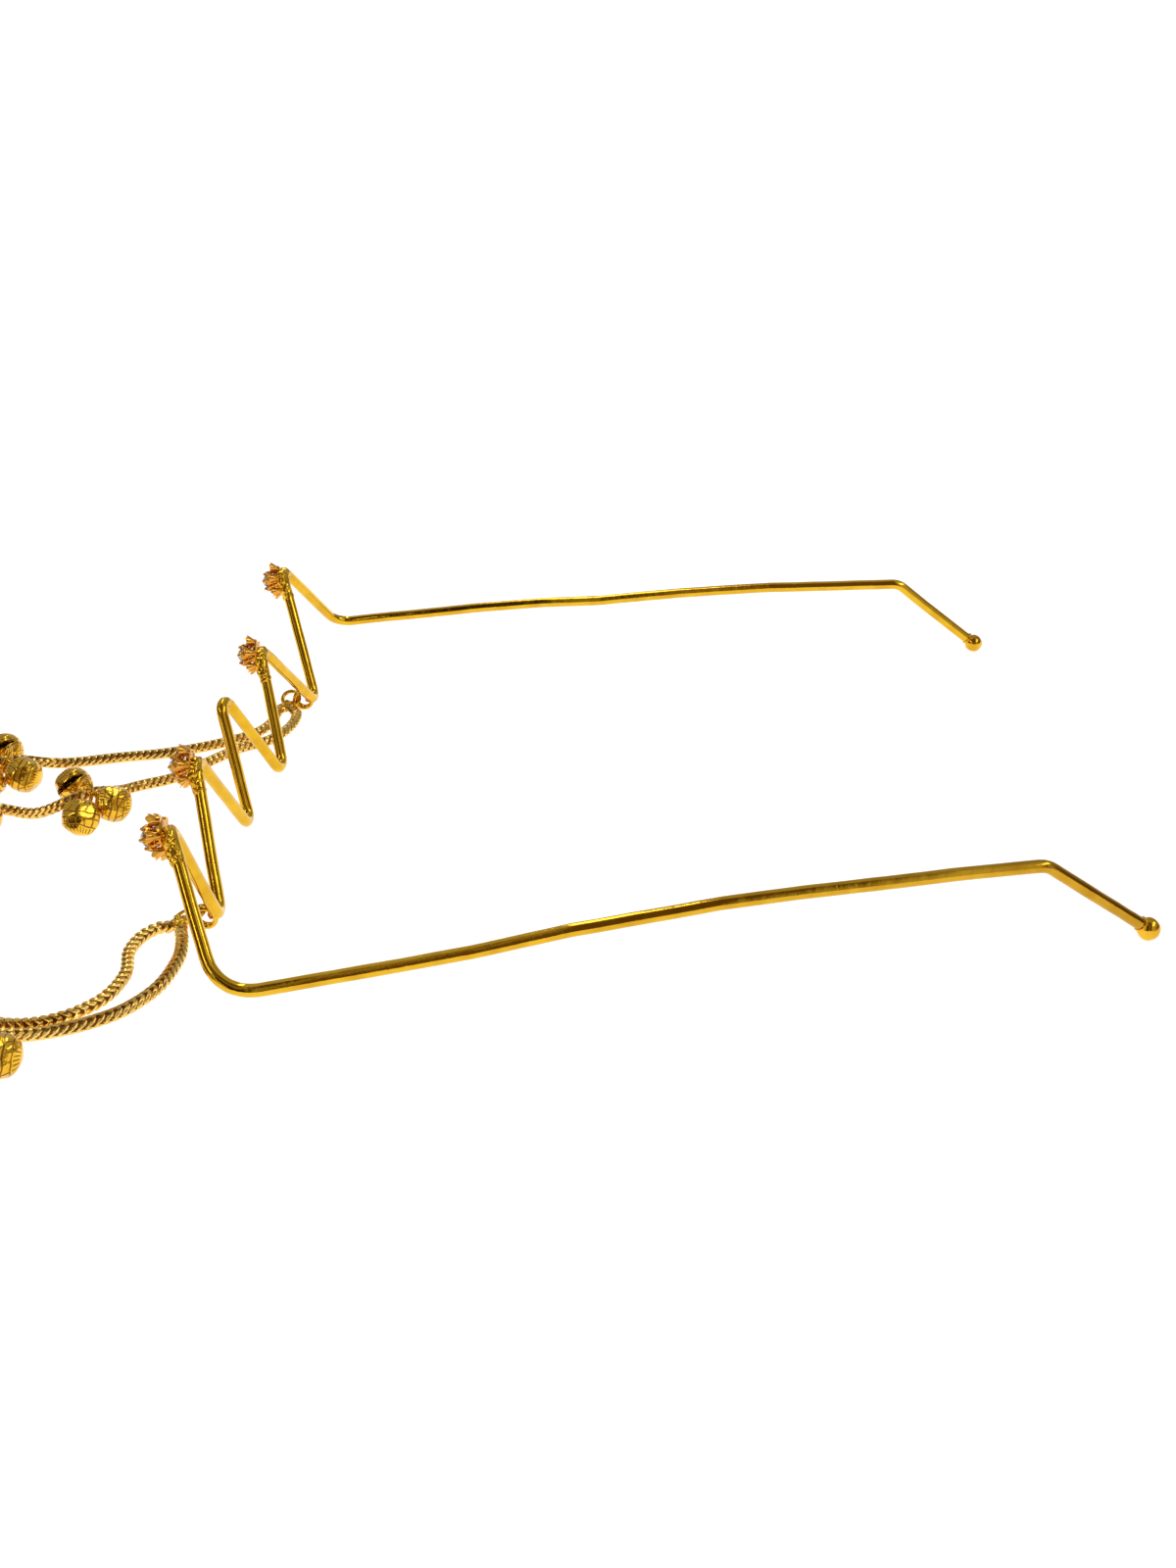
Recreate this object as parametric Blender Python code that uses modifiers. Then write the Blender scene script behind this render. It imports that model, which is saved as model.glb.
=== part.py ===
"""Face chain: a bent wire frame that sits like spectacles, four stone rosettes soldered to its brow
zigzag, and two chains of little bells hung from two of its valleys. It lies on a table.

X runs across the face (the wearer's left is +X), Y back to the ears, and Z up from the table.
All values are in metres and degrees."""

import math

import bmesh
import bpy
from mathutils import Matrix, Vector

MM = 0.001

# Wire frame
FRAME_WIDTH = 148.0 * MM         # between the front corners, on the wire's centre line
BOW_DEPTH = 11.0 * MM            # how far the corners lie behind the middle of the brow
BROW_RISE = 23.5 * MM            # highest peak above a valley that rests on the table
ARM_LENGTH = 148.4 * MM          # front corner to the centre of the tip's ball
ARM_ARCH = 1.6 * MM              # rise of an evenly arched arm's middle above its straight line
WIRE_DIAMETER = 2.2 * MM
FOLD_RADIUS = 2.2 * MM           # centre line of the tight folds of the zigzag
NEAR_CORNER_RADIUS = 7.5 * MM
FAR_CORNER_RADIUS = 4.5 * MM
EAR_BEND_RADIUS = 3.5 * MM
TIP_BALL_DIAMETER = 3.85 * MM

# Rosettes
ROSETTE_DIAMETER = 7.8 * MM
PETAL_COUNT = 6
PETAL_DIAMETER = 2.4 * MM
PETAL_DEPTH = 1.7 * MM
PLATE_THICKNESS = 0.7 * MM
CUP_DIAMETER = 4.0 * MM
CUP_DEPTH = 2.3 * MM
CUP_WALL = 0.45 * MM
PRONG_COUNT = 4
PRONG_DIAMETER = 0.55 * MM
SOLDER_BITE = 0.3 * MM           # how deep soldered pieces run into each other
SOLDER_DROP_LENGTH = 4.6 * MM
SOLDER_DROP_WIDTH = 2.0 * MM
STONE_DIAMETER = 3.1 * MM
STONE_CROWN = 0.7 * MM
STONE_TABLE_SHARE = 0.56
STONE_FACETS = 8
STONE_PAVILION = 1.0 * MM

# Rings
CLEARANCE = 0.3 * MM             # between pieces that touch on the real thing
EYE_DIAMETER = 4.5 * MM          # outer size of the eyes soldered to two valleys
END_RING_DIAMETER = 4.4 * MM
RING_WIRE = 0.7 * MM
SOLDER_BEAD_DIAMETER = 2.0 * MM
CLUSTER_RING_DIAMETER = 6.6 * MM
CLUSTER_RING_HEIGHT = 4.6 * MM   # centre of a cluster's ring, lifted by its bells

# Chains and bells
CHAIN_DIAMETER = 2.0 * MM
CHAIN_STEP = 5.8 * MM            # spacing of the points along a chain
CHAIN_LIFT_REACH = 7.5 * MM      # how far from a ring the chain starts to climb
BELL_DIAMETER = 7.0 * MM
BELL_WALL = 0.5 * MM
BELL_SLIT = 1.1 * MM
BELL_EYE_DIAMETER = 3.0 * MM
BELL_EYE_WIRE = 0.6 * MM
EYE_PLAY = 0.12 * MM             # how far a ring lies off the middle of a bell's eye
PAIR_FAN = 41.0                  # turn of each bell of a pair out of the ring's direction
RING_TILT = 30.0                 # lean of a cluster's ring out of the upright

WIRE_SIDES = 8
RING_SIDES = 5
RING_SEGMENTS = 12
BELL_SEGMENTS = 10
BELL_EYE_SEGMENTS = 10
HOLLOW_SEGMENTS = 7
HOLLOW_RINGS = 4
BELL_RINGS = 5
PLATE_SIDES = 10
PETAL_SIDES = 6
PRONG_SIDES = 5
ARC_STEP = 32.0                  # most degrees between the points of a bend
UP = Vector((0, 0, 1))

# Zigzag folds from the far side to the near side: across in shares of half the frame's width,
# back in shares of the bow's depth, and rise in shares of the brow's rise
ZIGZAG = (
    {"name": "peak_1", "across": -0.777, "back": 0.32, "rise": 1.00},
    {"name": "valley_1", "across": -0.566, "back": 0.86, "rise": 0.034},
    {"name": "peak_2", "across": -0.330, "back": 0.31, "rise": 0.80},
    {"name": "valley_2", "across": -0.149, "back": 0.62, "rise": 0.0},
    {"name": "peak_3", "across": 0.003, "back": 0.00, "rise": 0.834},
    {"name": "valley_3", "across": 0.143, "back": 0.36, "rise": 0.0},
    {"name": "peak_4", "across": 0.345, "back": 0.03, "rise": 0.843},
    {"name": "valley_4", "across": 0.589, "back": 0.44, "rise": 0.038},
    {"name": "peak_5", "across": 0.732, "back": 0.22, "rise": 0.962},
)

# Corner, ear bend and tip of each arm: across in shares of half the frame's width, back in shares
# of the arm's length behind the corner, and rise in shares of the brow's rise
FAR_ARM = (
    {"name": "corner", "across": -0.996, "back": 0.0, "rise": 0.213},
    {"name": "ear_bend", "across": -0.823, "back": 0.879, "rise": 0.651},
    {"name": "tip", "across": -0.799, "back": 1.0, "rise": 0.0},
)
NEAR_ARM = (
    {"name": "corner", "across": 1.004, "back": 0.0, "rise": 0.213},
    {"name": "ear_bend", "across": 0.819, "back": 0.874, "rise": 0.647},
    {"name": "tip", "across": 0.785, "back": 1.001, "rise": 0.0},
)

# How each hand-bent arm rises above the straight line from its corner to its ear bend: share of
# the way, and rise in shares of the arm's arch
FAR_ARM_RISE = ((0.10, 0.46), (0.25, 0.84), (0.38, 0.92), (0.48, 0.62), (0.62, 0.94), (0.78, 0.84))
NEAR_ARM_RISE = ((0.12, 0.26), (0.30, 0.58), (0.42, 1.35), (0.60, 1.68), (0.72, 1.28), (0.88, 0.70))

# Rosettes: the peak each is soldered to, its drop below the peak in shares of its diameter,
# and its forward lean in degrees
ROSETTES = (
    {"peak": "peak_1", "drop": 0.16, "lean": 3.0},
    {"peak": "peak_2", "drop": 0.0, "lean": 0.0},
    {"peak": "peak_4", "drop": 0.02, "lean": 0.0},
    {"peak": "peak_5", "drop": 0.03, "lean": 10.0},
)

# Joints between the frame and the chains: the valley, which way its eye lies from the wire, the
# end ring from the eye, and the solder bead from the end ring's centre
JOINTS = {
    "far": {"valley": "valley_1", "eye": (0.72, -0.66, 0.1), "ring": (-0.1, -0.98, 0.05),
            "bead": (0.75, -0.35, -0.55), "round": 90.0},
    "near": {"valley": "valley_4", "eye": (0.72, -0.66, 0.1), "ring": (-0.1, -0.98, 0.05),
             "bead": (0.75, -0.35, -0.55), "round": 50.0},
}

# Chain routes on the table, x and y in millimetres, from the far joint to the near joint, as drawn
# for solder beads at these two places; they are fitted to where the beads really are
DRAWN_FAR_BEAD = (-38.9, 5.0)
DRAWN_NEAR_BEAD = (46.2, -0.9)
CHAIN_ROUTES = {
    "chain_outer": (
        (-38.3, 3.1), (-36.2, 2.6), (-31.8, 2.2), (-27.4, 0.2), (-24.2, -3.8), (-21.1, -10.2),
        (-18.6, -18.5), (-17.2, -28.5), (-14.6, -38.5), (-10.8, -47.0), (-7.6, -57.0), (-2.0, -66.5),
        (9.0, -75.5), (25.0, -80.0), (44.0, -80.0), (61.0, -74.5), (75.0, -63.5), (84.0, -49.5),
        (86.2, -36.5), (82.2, -27.6), (78.0, -21.6), (75.4, -16.5), (72.7, -10.0), (69.3, -4.8),
        (63.5, -0.9), (56.0, 0.6), (50.8, 0.1), (47.6, -0.7),
    ),
    "chain_inner": (
        (-37.3, 6.0), (-35.4, 7.0), (-31.2, 6.9), (-26.6, 5.4), (-22.8, 2.6), (-19.9, -2.5),
        (-13.3, -8.7), (-7.8, -13.6), (-4.3, -19.8), (1.2, -24.2), (5.8, -29.3), (6.8, -36.0),
        (5.4, -43.0), (7.6, -51.2), (14.0, -58.4), (26.0, -62.0), (39.0, -60.0), (51.0, -53.0),
        (60.5, -43.0), (68.0, -32.0), (72.2, -23.0), (71.5, -15.4), (66.8, -9.4), (60.0, -7.2),
        (53.6, -8.1), (49.0, -6.9), (46.6, -4.6), (46.2, -2.4),
    ),
}

# Bell clusters: the chain, how far along it in shares of its length, the side that the pair
# hangs on (1 is to the left of the way from the far joint), whether the pair leans ahead, the turn
# of the ring towards the side that the pair leans to, and the third bell's swing in fans of the pair
CLUSTERS = (
    {"name": "outer_1", "chain": "chain_outer", "along": 0.242, "side": 1, "lean": -1, "turn": -2.0,
     "swing": 0.0},
    {"name": "outer_2", "chain": "chain_outer", "along": 0.423, "side": -1, "lean": -1, "turn": 8.0,
     "swing": 0.3},
    {"name": "outer_3", "chain": "chain_outer", "along": 0.602, "side": -1, "lean": 1, "turn": 8.0,
     "swing": 0.0},
    {"name": "outer_4", "chain": "chain_outer", "along": 0.817, "side": -1, "lean": 1, "turn": 6.0,
     "swing": -0.3},
    {"name": "inner_1", "chain": "chain_inner", "along": 0.277, "side": 1, "lean": -1, "turn": 4.0,
     "swing": 0.5},
    {"name": "inner_2", "chain": "chain_inner", "along": 0.392, "side": 1, "lean": -1, "turn": 0.0,
     "swing": -0.6},
    {"name": "inner_3", "chain": "chain_inner", "along": 0.555, "side": -1, "lean": 1, "turn": 8.0,
     "swing": -0.3},
    {"name": "inner_4", "chain": "chain_inner", "along": 0.694, "side": -1, "lean": 1, "turn": 8.0,
     "swing": 0.3},
)

# The three bells of a cluster: which side of the ring, the fan from the ring's plane, how high
# on the ring its eye hangs, and the roll of its slit, all in degrees
BELLS = (
    {"name": "a", "side": 1, "fan": 1.0, "climb": 30.0, "roll": 35.0},
    {"name": "b", "side": 1, "fan": -1.0, "climb": -30.0, "roll": 100.0},
    {"name": "c", "side": -1, "fan": 0.0, "climb": -10.0, "roll": 60.0},
)


def clear_scene():
    for thing in list(bpy.data.objects):
        bpy.data.objects.remove(thing, do_unlink=True)


def make_collection(name):
    group = bpy.data.collections.new(name)
    bpy.context.scene.collection.children.link(group)
    return group


def material(name, colour, roughness, metallic, transmission=0.0):
    paint = bpy.data.materials.new(name)
    paint.use_nodes = True
    shader = paint.node_tree.nodes["Principled BSDF"]
    shader.inputs["Base Color"].default_value = (*colour, 1)
    shader.inputs["Roughness"].default_value = roughness
    shader.inputs["Metallic"].default_value = metallic
    shader.inputs["Transmission Weight"].default_value = transmission
    return paint


def frame_of(x_way, y_way, z_way, place):
    """The matrix of a piece whose own axes point along three given directions."""
    turn = Matrix((x_way, y_way, z_way)).transposed().to_4x4()
    return Matrix.Translation(place) @ turn


# Meshes

def add_object(name, mesh, group, place=Matrix()):
    thing = bpy.data.objects.new(name, mesh)
    thing.matrix_world = place
    group.objects.link(thing)
    return thing


def take_active(group):
    """Moves what a primitive operator has just made into a collection."""
    thing = bpy.context.active_object
    for old in list(thing.users_collection):
        old.objects.unlink(thing)
    group.objects.link(thing)
    return thing


def ball(radius, group, place=Matrix(), segments=10, rings=8):
    bpy.ops.mesh.primitive_uv_sphere_add(segments=segments, ring_count=rings, radius=radius)
    thing = take_active(group)
    thing.matrix_world = place
    return thing


def cylinder(radius, depth, sides, group, place=Matrix(), front_radius=None):
    """A cylinder, or a cone with a front radius of its own, that stands on its own XY plane."""
    front_radius = radius if front_radius is None else front_radius
    bpy.ops.mesh.primitive_cone_add(vertices=sides, radius1=radius, radius2=front_radius, depth=depth)
    thing = take_active(group)
    thing.matrix_world = place @ Matrix.Translation((0, 0, depth / 2))
    return thing


def ring(outer_diameter, wire, group, place=Matrix(), segments=RING_SEGMENTS):
    """A round ring of wire in its own XY plane."""
    bpy.ops.mesh.primitive_torus_add(
        major_segments=segments, minor_segments=RING_SIDES,
        major_radius=(outer_diameter - wire) / 2, minor_radius=wire / 2)
    thing = take_active(group)
    thing.matrix_world = place
    return thing


def tube(name, points, diameter, group):
    """A round wire along a list of points, made with a curve's own bevel."""
    curve = bpy.data.curves.new(name, "CURVE")
    curve.dimensions = "3D"
    curve.bevel_depth = diameter / 2
    curve.bevel_resolution = WIRE_SIDES // 2 - 2
    curve.use_fill_caps = True
    spline = curve.splines.new("POLY")
    spline.points.add(len(points) - 1)
    for knot, point in zip(spline.points, points):
        knot.co = (*point, 1)
    return add_object(name, curve, group)


def as_mesh(thing, group):
    """The evaluated object as a plain mesh object with its caps welded."""
    bpy.context.view_layer.update()
    graph = bpy.context.evaluated_depsgraph_get()
    mesh = bpy.data.meshes.new_from_object(thing.evaluated_get(graph))
    work = bmesh.new()
    work.from_mesh(mesh)
    bmesh.ops.remove_doubles(work, verts=work.verts, dist=0.001 * MM)
    work.to_mesh(mesh)
    work.free()
    place, name = thing.matrix_world.copy(), thing.name
    bpy.data.objects.remove(thing, do_unlink=True)
    return add_object(name, mesh, group, place)


def combine(base, others, operation, group):
    """One body from a piece and others that are soldered to it or cut from it."""
    for other in others:
        step = base.modifiers.new("combine", "BOOLEAN")
        step.operation = operation
        step.object = other
    result = as_mesh(base, group)
    for other in others:
        bpy.data.objects.remove(other, do_unlink=True)
    return result


def turned(name, profile, steps, group):
    """A solid of revolution from (radius, height) pairs that run down the outer side."""
    mesh = bpy.data.meshes.new(name)
    edges = [(i, i + 1) for i in range(len(profile) - 1)]
    mesh.from_pydata([(radius, 0, height) for radius, height in profile], edges, [])
    thing = add_object(name, mesh, group)
    screw = thing.modifiers.new("turn", "SCREW")
    screw.steps = screw.render_steps = steps
    screw.use_merge_vertices = True
    screw.merge_threshold = 0.001 * MM
    return as_mesh(thing, group)


def shade_round(thing, degrees=40):
    thing.data.shade_smooth()
    thing.data.set_sharp_from_angle(angle=math.radians(degrees))


# Wire frame

def station(row):
    """Where a fold of the zigzag lies, on the wire's centre line."""
    return Vector((row["across"] * FRAME_WIDTH / 2, row["back"] * BOW_DEPTH,
                   WIRE_DIAMETER / 2 + row["rise"] * BROW_RISE))


def fold(name):
    return station(next(row for row in ZIGZAG if row["name"] == name))


def arm_points(rows, rise):
    """The corner, the arched points of the arm, the ear bend and the ball's centre."""
    corner, ear_bend, tip = (
        Vector((row["across"] * FRAME_WIDTH / 2, BOW_DEPTH + row["back"] * ARM_LENGTH,
                WIRE_DIAMETER / 2 + row["rise"] * BROW_RISE)) for row in rows)
    tip.z = TIP_BALL_DIAMETER / 2
    arch = [corner.lerp(ear_bend, share) + UP * ARM_ARCH * height for share, height in rise]
    return corner, arch, ear_bend, tip


def frame_stations():
    """Each point of the wire with its bend radius, and whether the wire's own bend touches it."""
    far_corner, far_arch, far_bend, far_tip = arm_points(FAR_ARM, FAR_ARM_RISE)
    near_corner, near_arch, near_bend, near_tip = arm_points(NEAR_ARM, NEAR_ARM_RISE)
    stops = [(far_tip, 0, False), (far_bend, EAR_BEND_RADIUS, False)]
    stops += [(point, 0, False) for point in reversed(far_arch)]
    stops += [(far_corner, FAR_CORNER_RADIUS, False)]
    stops += [(station(row), FOLD_RADIUS, True) for row in ZIGZAG]
    stops += [(near_corner, NEAR_CORNER_RADIUS, False)]
    stops += [(point, 0, False) for point in near_arch]
    stops += [(near_bend, EAR_BEND_RADIUS, False), (near_tip, 0, False)]
    return stops


def bend_corners(stops):
    """The corners of the straight runs, pushed out until each tight fold touches its point."""
    corners = [point.copy() for point, _, _ in stops]
    for _ in range(12):
        for i in range(1, len(stops) - 1):
            point, radius, touches = stops[i]
            if not touches:
                continue
            before = (corners[i - 1] - corners[i]).normalized()
            after = (corners[i + 1] - corners[i]).normalized()
            half = before.angle(after) / 2
            corners[i] = point - (before + after).normalized() * radius * (1 / math.sin(half) - 1)
    return corners


def bend_arc(corner, before, after, radius):
    """Points of the round bend between two straight runs."""
    half = before.angle(after) / 2
    middle = corner + (before + after).normalized() * radius / math.sin(half)
    start = corner + before * radius / math.tan(half) - middle
    end = corner + after * radius / math.tan(half) - middle
    turn = start.angle(end)
    steps = max(2, math.ceil(math.degrees(turn) / ARC_STEP))
    return [middle + (start * math.sin(turn * (1 - k / steps)) + end * math.sin(turn * k / steps))
            / math.sin(turn) for k in range(steps + 1)]


def frame_route():
    stops = frame_stations()
    corners = bend_corners(stops)
    route = [corners[0]]
    for i in range(1, len(stops) - 1):
        radius = stops[i][1]
        if radius == 0:
            route.append(corners[i])
            continue
        before = (corners[i - 1] - corners[i]).normalized()
        after = (corners[i + 1] - corners[i]).normalized()
        route += bend_arc(corners[i], before, after, radius)
    return route + [corners[-1]]


def rosette_place(row):
    """Axes of a rosette: Z out of its front and Y up, with its back let into the wire."""
    peak = fold(row["peak"])
    back = peak + Vector((0, -WIRE_DIAMETER / 2 + SOLDER_BITE, -row["drop"] * ROSETTE_DIAMETER))
    return Matrix.Translation(back) @ Matrix.Rotation(math.radians(90 + row["lean"]), 4, "X")


def rosette(group):
    """Plate, centre cup with prongs and a ring of petal cups, facing up its own Z."""
    petal_circle = (ROSETTE_DIAMETER - PETAL_DIAMETER) / 2
    body = cylinder(petal_circle, PLATE_THICKNESS, PLATE_SIDES, group)
    parts = [cylinder(CUP_DIAMETER / 2 - CUP_WALL / 2, PLATE_THICKNESS + CUP_DEPTH, PLATE_SIDES, group,
                      front_radius=CUP_DIAMETER / 2)]
    for k in range(PETAL_COUNT):
        angle = 2 * math.pi * (k + 0.5) / PETAL_COUNT + math.radians(1)
        spot = Matrix.Translation((petal_circle * math.cos(angle), petal_circle * math.sin(angle),
                                   PLATE_THICKNESS / 2))
        parts.append(cylinder(PETAL_DIAMETER * 0.36, PLATE_THICKNESS / 2 + PETAL_DEPTH, PETAL_SIDES, group,
                              spot, front_radius=PETAL_DIAMETER / 2))
    prong_circle = STONE_DIAMETER / 2 + CLEARANCE + PRONG_DIAMETER / 2
    prong_height = PLATE_THICKNESS + CUP_DEPTH + STONE_CROWN
    for k in range(PRONG_COUNT):
        angle = 2 * math.pi * (k + 0.25) / PRONG_COUNT
        spot = Matrix.Translation((prong_circle * math.cos(angle), prong_circle * math.sin(angle),
                                   PLATE_THICKNESS))
        parts.append(cylinder(PRONG_DIAMETER / 2, prong_height - PLATE_THICKNESS, PRONG_SIDES, group, spot))
    body = combine(body, parts, "UNION", group)
    seat = cylinder(CUP_DIAMETER / 2 - 2 * CUP_WALL, CUP_DEPTH * 2, PLATE_SIDES, group,
                    Matrix.Translation((0, 0, PLATE_THICKNESS + CUP_DEPTH / 2)))
    return combine(body, [seat], "DIFFERENCE", group)


def stone_place(row):
    """A stone's girdle stands a clearance above the rim of its cup."""
    rim = PLATE_THICKNESS + CUP_DEPTH
    return rosette_place(row) @ Matrix.Translation((0, 0, rim + CLEARANCE))


def stone(name, row, group):
    girdle = STONE_DIAMETER / 2
    profile = [(0, STONE_CROWN), (girdle * STONE_TABLE_SHARE, STONE_CROWN),
               (girdle, STONE_CROWN * 0.1), (girdle, 0), (0, -STONE_PAVILION)]
    cut = turned(name, profile, STONE_FACETS, group)
    cut.matrix_world = stone_place(row)
    return cut


def joint_points(name):
    """Centres of an eye, its end ring and the ring's solder bead."""
    joint = JOINTS[name]
    eye_way, ring_way, bead_way = (Vector(joint[key]).normalized() for key in ("eye", "ring", "bead"))
    eye_radius = (EYE_DIAMETER - RING_WIRE) / 2
    ring_radius = (END_RING_DIAMETER - RING_WIRE) / 2
    eye = fold(joint["valley"]) + eye_way * (WIRE_DIAMETER / 2 + EYE_DIAMETER / 2 - 2 * SOLDER_BITE)
    eye.z = EYE_DIAMETER / 2
    end_ring = eye + ring_way * (eye_radius + ring_radius - RING_WIRE - CLEARANCE)
    down = (bead_way - ring_way * bead_way.dot(ring_way)).normalized()
    turn = math.radians(joint["round"])
    bead = end_ring + (ring_way * math.cos(turn) + down * math.sin(turn)) * ring_radius
    return eye, end_ring, bead


def make_frame(parts, cutters):
    wire = as_mesh(tube("frame_wire", frame_route(), WIRE_DIAMETER, parts), parts)
    soldered = []
    for rows, rise in ((FAR_ARM, FAR_ARM_RISE), (NEAR_ARM, NEAR_ARM_RISE)):
        tip = arm_points(rows, rise)[3]
        soldered.append(ball(TIP_BALL_DIAMETER / 2, cutters, Matrix.Translation(tip), 10, 6))
    master = rosette(cutters)
    for row in ROSETTES:
        soldered.append(add_object("soldered", master.data, cutters, rosette_place(row)))
        peak = fold(row["peak"])
        drop = peak + Vector((0, -WIRE_DIAMETER / 2, -SOLDER_DROP_LENGTH / 3))
        size = Matrix.Diagonal((SOLDER_DROP_WIDTH / 2, SOLDER_DROP_WIDTH / 2, SOLDER_DROP_LENGTH / 2, 1))
        soldered.append(ball(1.0, cutters, Matrix.Translation(drop) @ size, 6, 5))
    for name in JOINTS:
        eye, end_ring, _ = joint_points(name)
        way = (end_ring - eye).normalized()
        soldered.append(ring(EYE_DIAMETER, RING_WIRE, cutters,
                             frame_of(way, UP, way.cross(UP).normalized(), eye)))
    wire = combine(wire, soldered, "UNION", parts)
    bpy.data.objects.remove(master, do_unlink=True)
    shade_round(wire)
    return wire


def make_end_ring(name, joint, parts, cutters):
    """The ring linked into a valley's eye, with the bead of solder that holds both chains."""
    eye, centre, bead = joint_points(joint)
    way, down = (centre - eye).normalized(), (bead - centre).normalized()
    body = ring(END_RING_DIAMETER, RING_WIRE, parts, frame_of(way, down, way.cross(down), centre))
    body.name = name
    body = combine(body, [ball(SOLDER_BEAD_DIAMETER / 2, cutters, Matrix.Translation(bead))],
                   "UNION", parts)
    shade_round(body)
    return body


# Chains

def smooth_route(points, spacing):
    """Evenly spaced points and headings on a smooth curve through a route's own points."""
    ends = [points[0] * 2 - points[1]] + points + [points[-1] * 2 - points[-2]]
    fine = []
    for a, b, c, d in zip(ends, ends[1:], ends[2:], ends[3:]):
        for k in range(16):
            t = k / 16
            fine.append(0.5 * (2 * b + (c - a) * t + (2 * a - 5 * b + 4 * c - d) * t * t
                               + (3 * b - a - 3 * c + d) * t ** 3))
    fine.append(points[-1])
    total = sum((q - p).length for p, q in zip(fine, fine[1:]))
    count = max(2, round(total / spacing))
    evenly, walked, k = [], 0.0, 0
    for i in range(count + 1):
        goal = min(total * i / count, total * 0.999999)
        while walked + (fine[k + 1] - fine[k]).length < goal:
            walked += (fine[k + 1] - fine[k]).length
            k += 1
        run = fine[k + 1] - fine[k]
        evenly.append(fine[k] + run * ((goal - walked) / run.length))
    return evenly


def fit_to_beads(x, y):
    """A drawn route point moved and scaled so that the route runs from bead to bead."""
    far, near = joint_points("far")[2], joint_points("near")[2]
    drawn_far, drawn_near = Vector(DRAWN_FAR_BEAD) * MM, Vector(DRAWN_NEAR_BEAD) * MM
    scale = (near.x - far.x) / (drawn_near.x - drawn_far.x)
    share = (x * MM - drawn_far.x) / (drawn_near.x - drawn_far.x)
    share = min(max(share, 0), 1)
    drawn_line = drawn_far.y + (drawn_near.y - drawn_far.y) * share
    line = far.y + (near.y - far.y) * share
    return Vector((far.x + (x * MM - drawn_far.x) * scale, line + (y * MM - drawn_line) * scale, 0))


def chain_plan(name, spacing):
    """A chain's route seen from above."""
    return smooth_route([fit_to_beads(x, y) for x, y in CHAIN_ROUTES[name]], spacing)


def cluster_seat(row):
    """Where a cluster's ring stands on its chain, and the chain's heading there."""
    fine = chain_plan(row["chain"], CHAIN_STEP / 16)
    i = min(max(round(row["along"] * (len(fine) - 1)), 4), len(fine) - 5)
    heading = (fine[i + 4] - fine[i - 4]).normalized()
    return Vector((fine[i].x, fine[i].y, CLUSTER_RING_HEIGHT)), heading


def chain_points(name):
    """A chain lies on the table and climbs through each of its rings."""
    seats = [cluster_seat(row)[0] for row in CLUSTERS if row["chain"] == name]
    points = []
    for point in chain_plan(name, CHAIN_STEP):
        height = CHAIN_DIAMETER / 2
        for seat in seats:
            away = math.hypot(point.x - seat.x, point.y - seat.y) / CHAIN_LIFT_REACH
            height += (CLUSTER_RING_HEIGHT - CHAIN_DIAMETER / 2) * math.exp(-away * away)
        points.append(Vector((point.x, point.y, height)))
    return points


# Bell clusters

def cluster_ring_axes(row):
    """Centre of a cluster's ring, and the level and the climbing direction in its plane."""
    centre, heading = cluster_seat(row)
    turn, tilt = math.radians(row["turn"]), math.radians(RING_TILT)
    side_way, lean_way = UP.cross(heading) * row["side"], heading * row["lean"]
    level = side_way * math.cos(turn) + lean_way * math.sin(turn)
    ahead = lean_way * math.cos(turn) - side_way * math.sin(turn)
    return centre, level, ahead, UP * math.cos(tilt) + ahead * math.sin(tilt)


def bell_place(row, bell):
    """A bell's axes: its centre on the table, Z towards its eye and Y along the ring's wire."""
    centre, level, ahead, rise = cluster_ring_axes(row)
    out = level * bell["side"]
    climb = math.radians(bell["climb"])
    radius = (CLUSTER_RING_DIAMETER - RING_WIRE) / 2
    hold = centre + out * radius * math.cos(climb) + rise * radius * math.sin(climb)
    along_wire = rise * math.cos(climb) - out * math.sin(climb)
    reach = BELL_DIAMETER / 2 + BELL_EYE_DIAMETER / 2 - BELL_EYE_WIRE + EYE_PLAY
    fall = BELL_DIAMETER / 2 - hold.z
    swing = row["swing"] if bell["side"] < 0 else 0.0
    fan = math.radians(PAIR_FAN) * (bell["fan"] + swing)
    way = out * math.cos(fan) + ahead * math.sin(fan)
    middle = hold + way * math.sqrt(reach ** 2 - fall ** 2) + UP * fall
    axis = (hold - middle).normalized()
    y_way = (along_wire - axis * along_wire.dot(axis)).normalized()
    return frame_of(y_way.cross(axis), y_way, axis, middle)


def make_bell(name, place, roll, parts, cutters):
    """A hollow ball with a slit across its lower half and an eye of wire on top."""
    body = ball(BELL_DIAMETER / 2, parts, Matrix(), BELL_SEGMENTS, BELL_RINGS)
    body.name = name
    hollow = ball(BELL_DIAMETER / 2 - BELL_WALL, cutters, Matrix(), HOLLOW_SEGMENTS, HOLLOW_RINGS)
    bpy.ops.mesh.primitive_cube_add(size=1)
    slit = take_active(cutters)
    slit.matrix_world = (
        Matrix.Rotation(math.radians(roll), 4, "Z") @ Matrix.Translation((0, 0, -BELL_DIAMETER / 2))
        @ Matrix.Diagonal((BELL_DIAMETER * 1.2, BELL_SLIT, BELL_DIAMETER * 0.9, 1)))
    body = combine(body, [hollow, slit], "DIFFERENCE", parts)
    eye_height = BELL_DIAMETER / 2 + BELL_EYE_DIAMETER / 2 - BELL_EYE_WIRE
    eye = ring(BELL_EYE_DIAMETER, BELL_EYE_WIRE, cutters,
               Matrix.Translation((0, 0, eye_height)) @ Matrix.Rotation(math.pi / 2, 4, "X"), BELL_EYE_SEGMENTS)
    body = combine(body, [eye], "UNION", parts)
    body.matrix_world = place
    shade_round(body)
    return body


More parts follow.
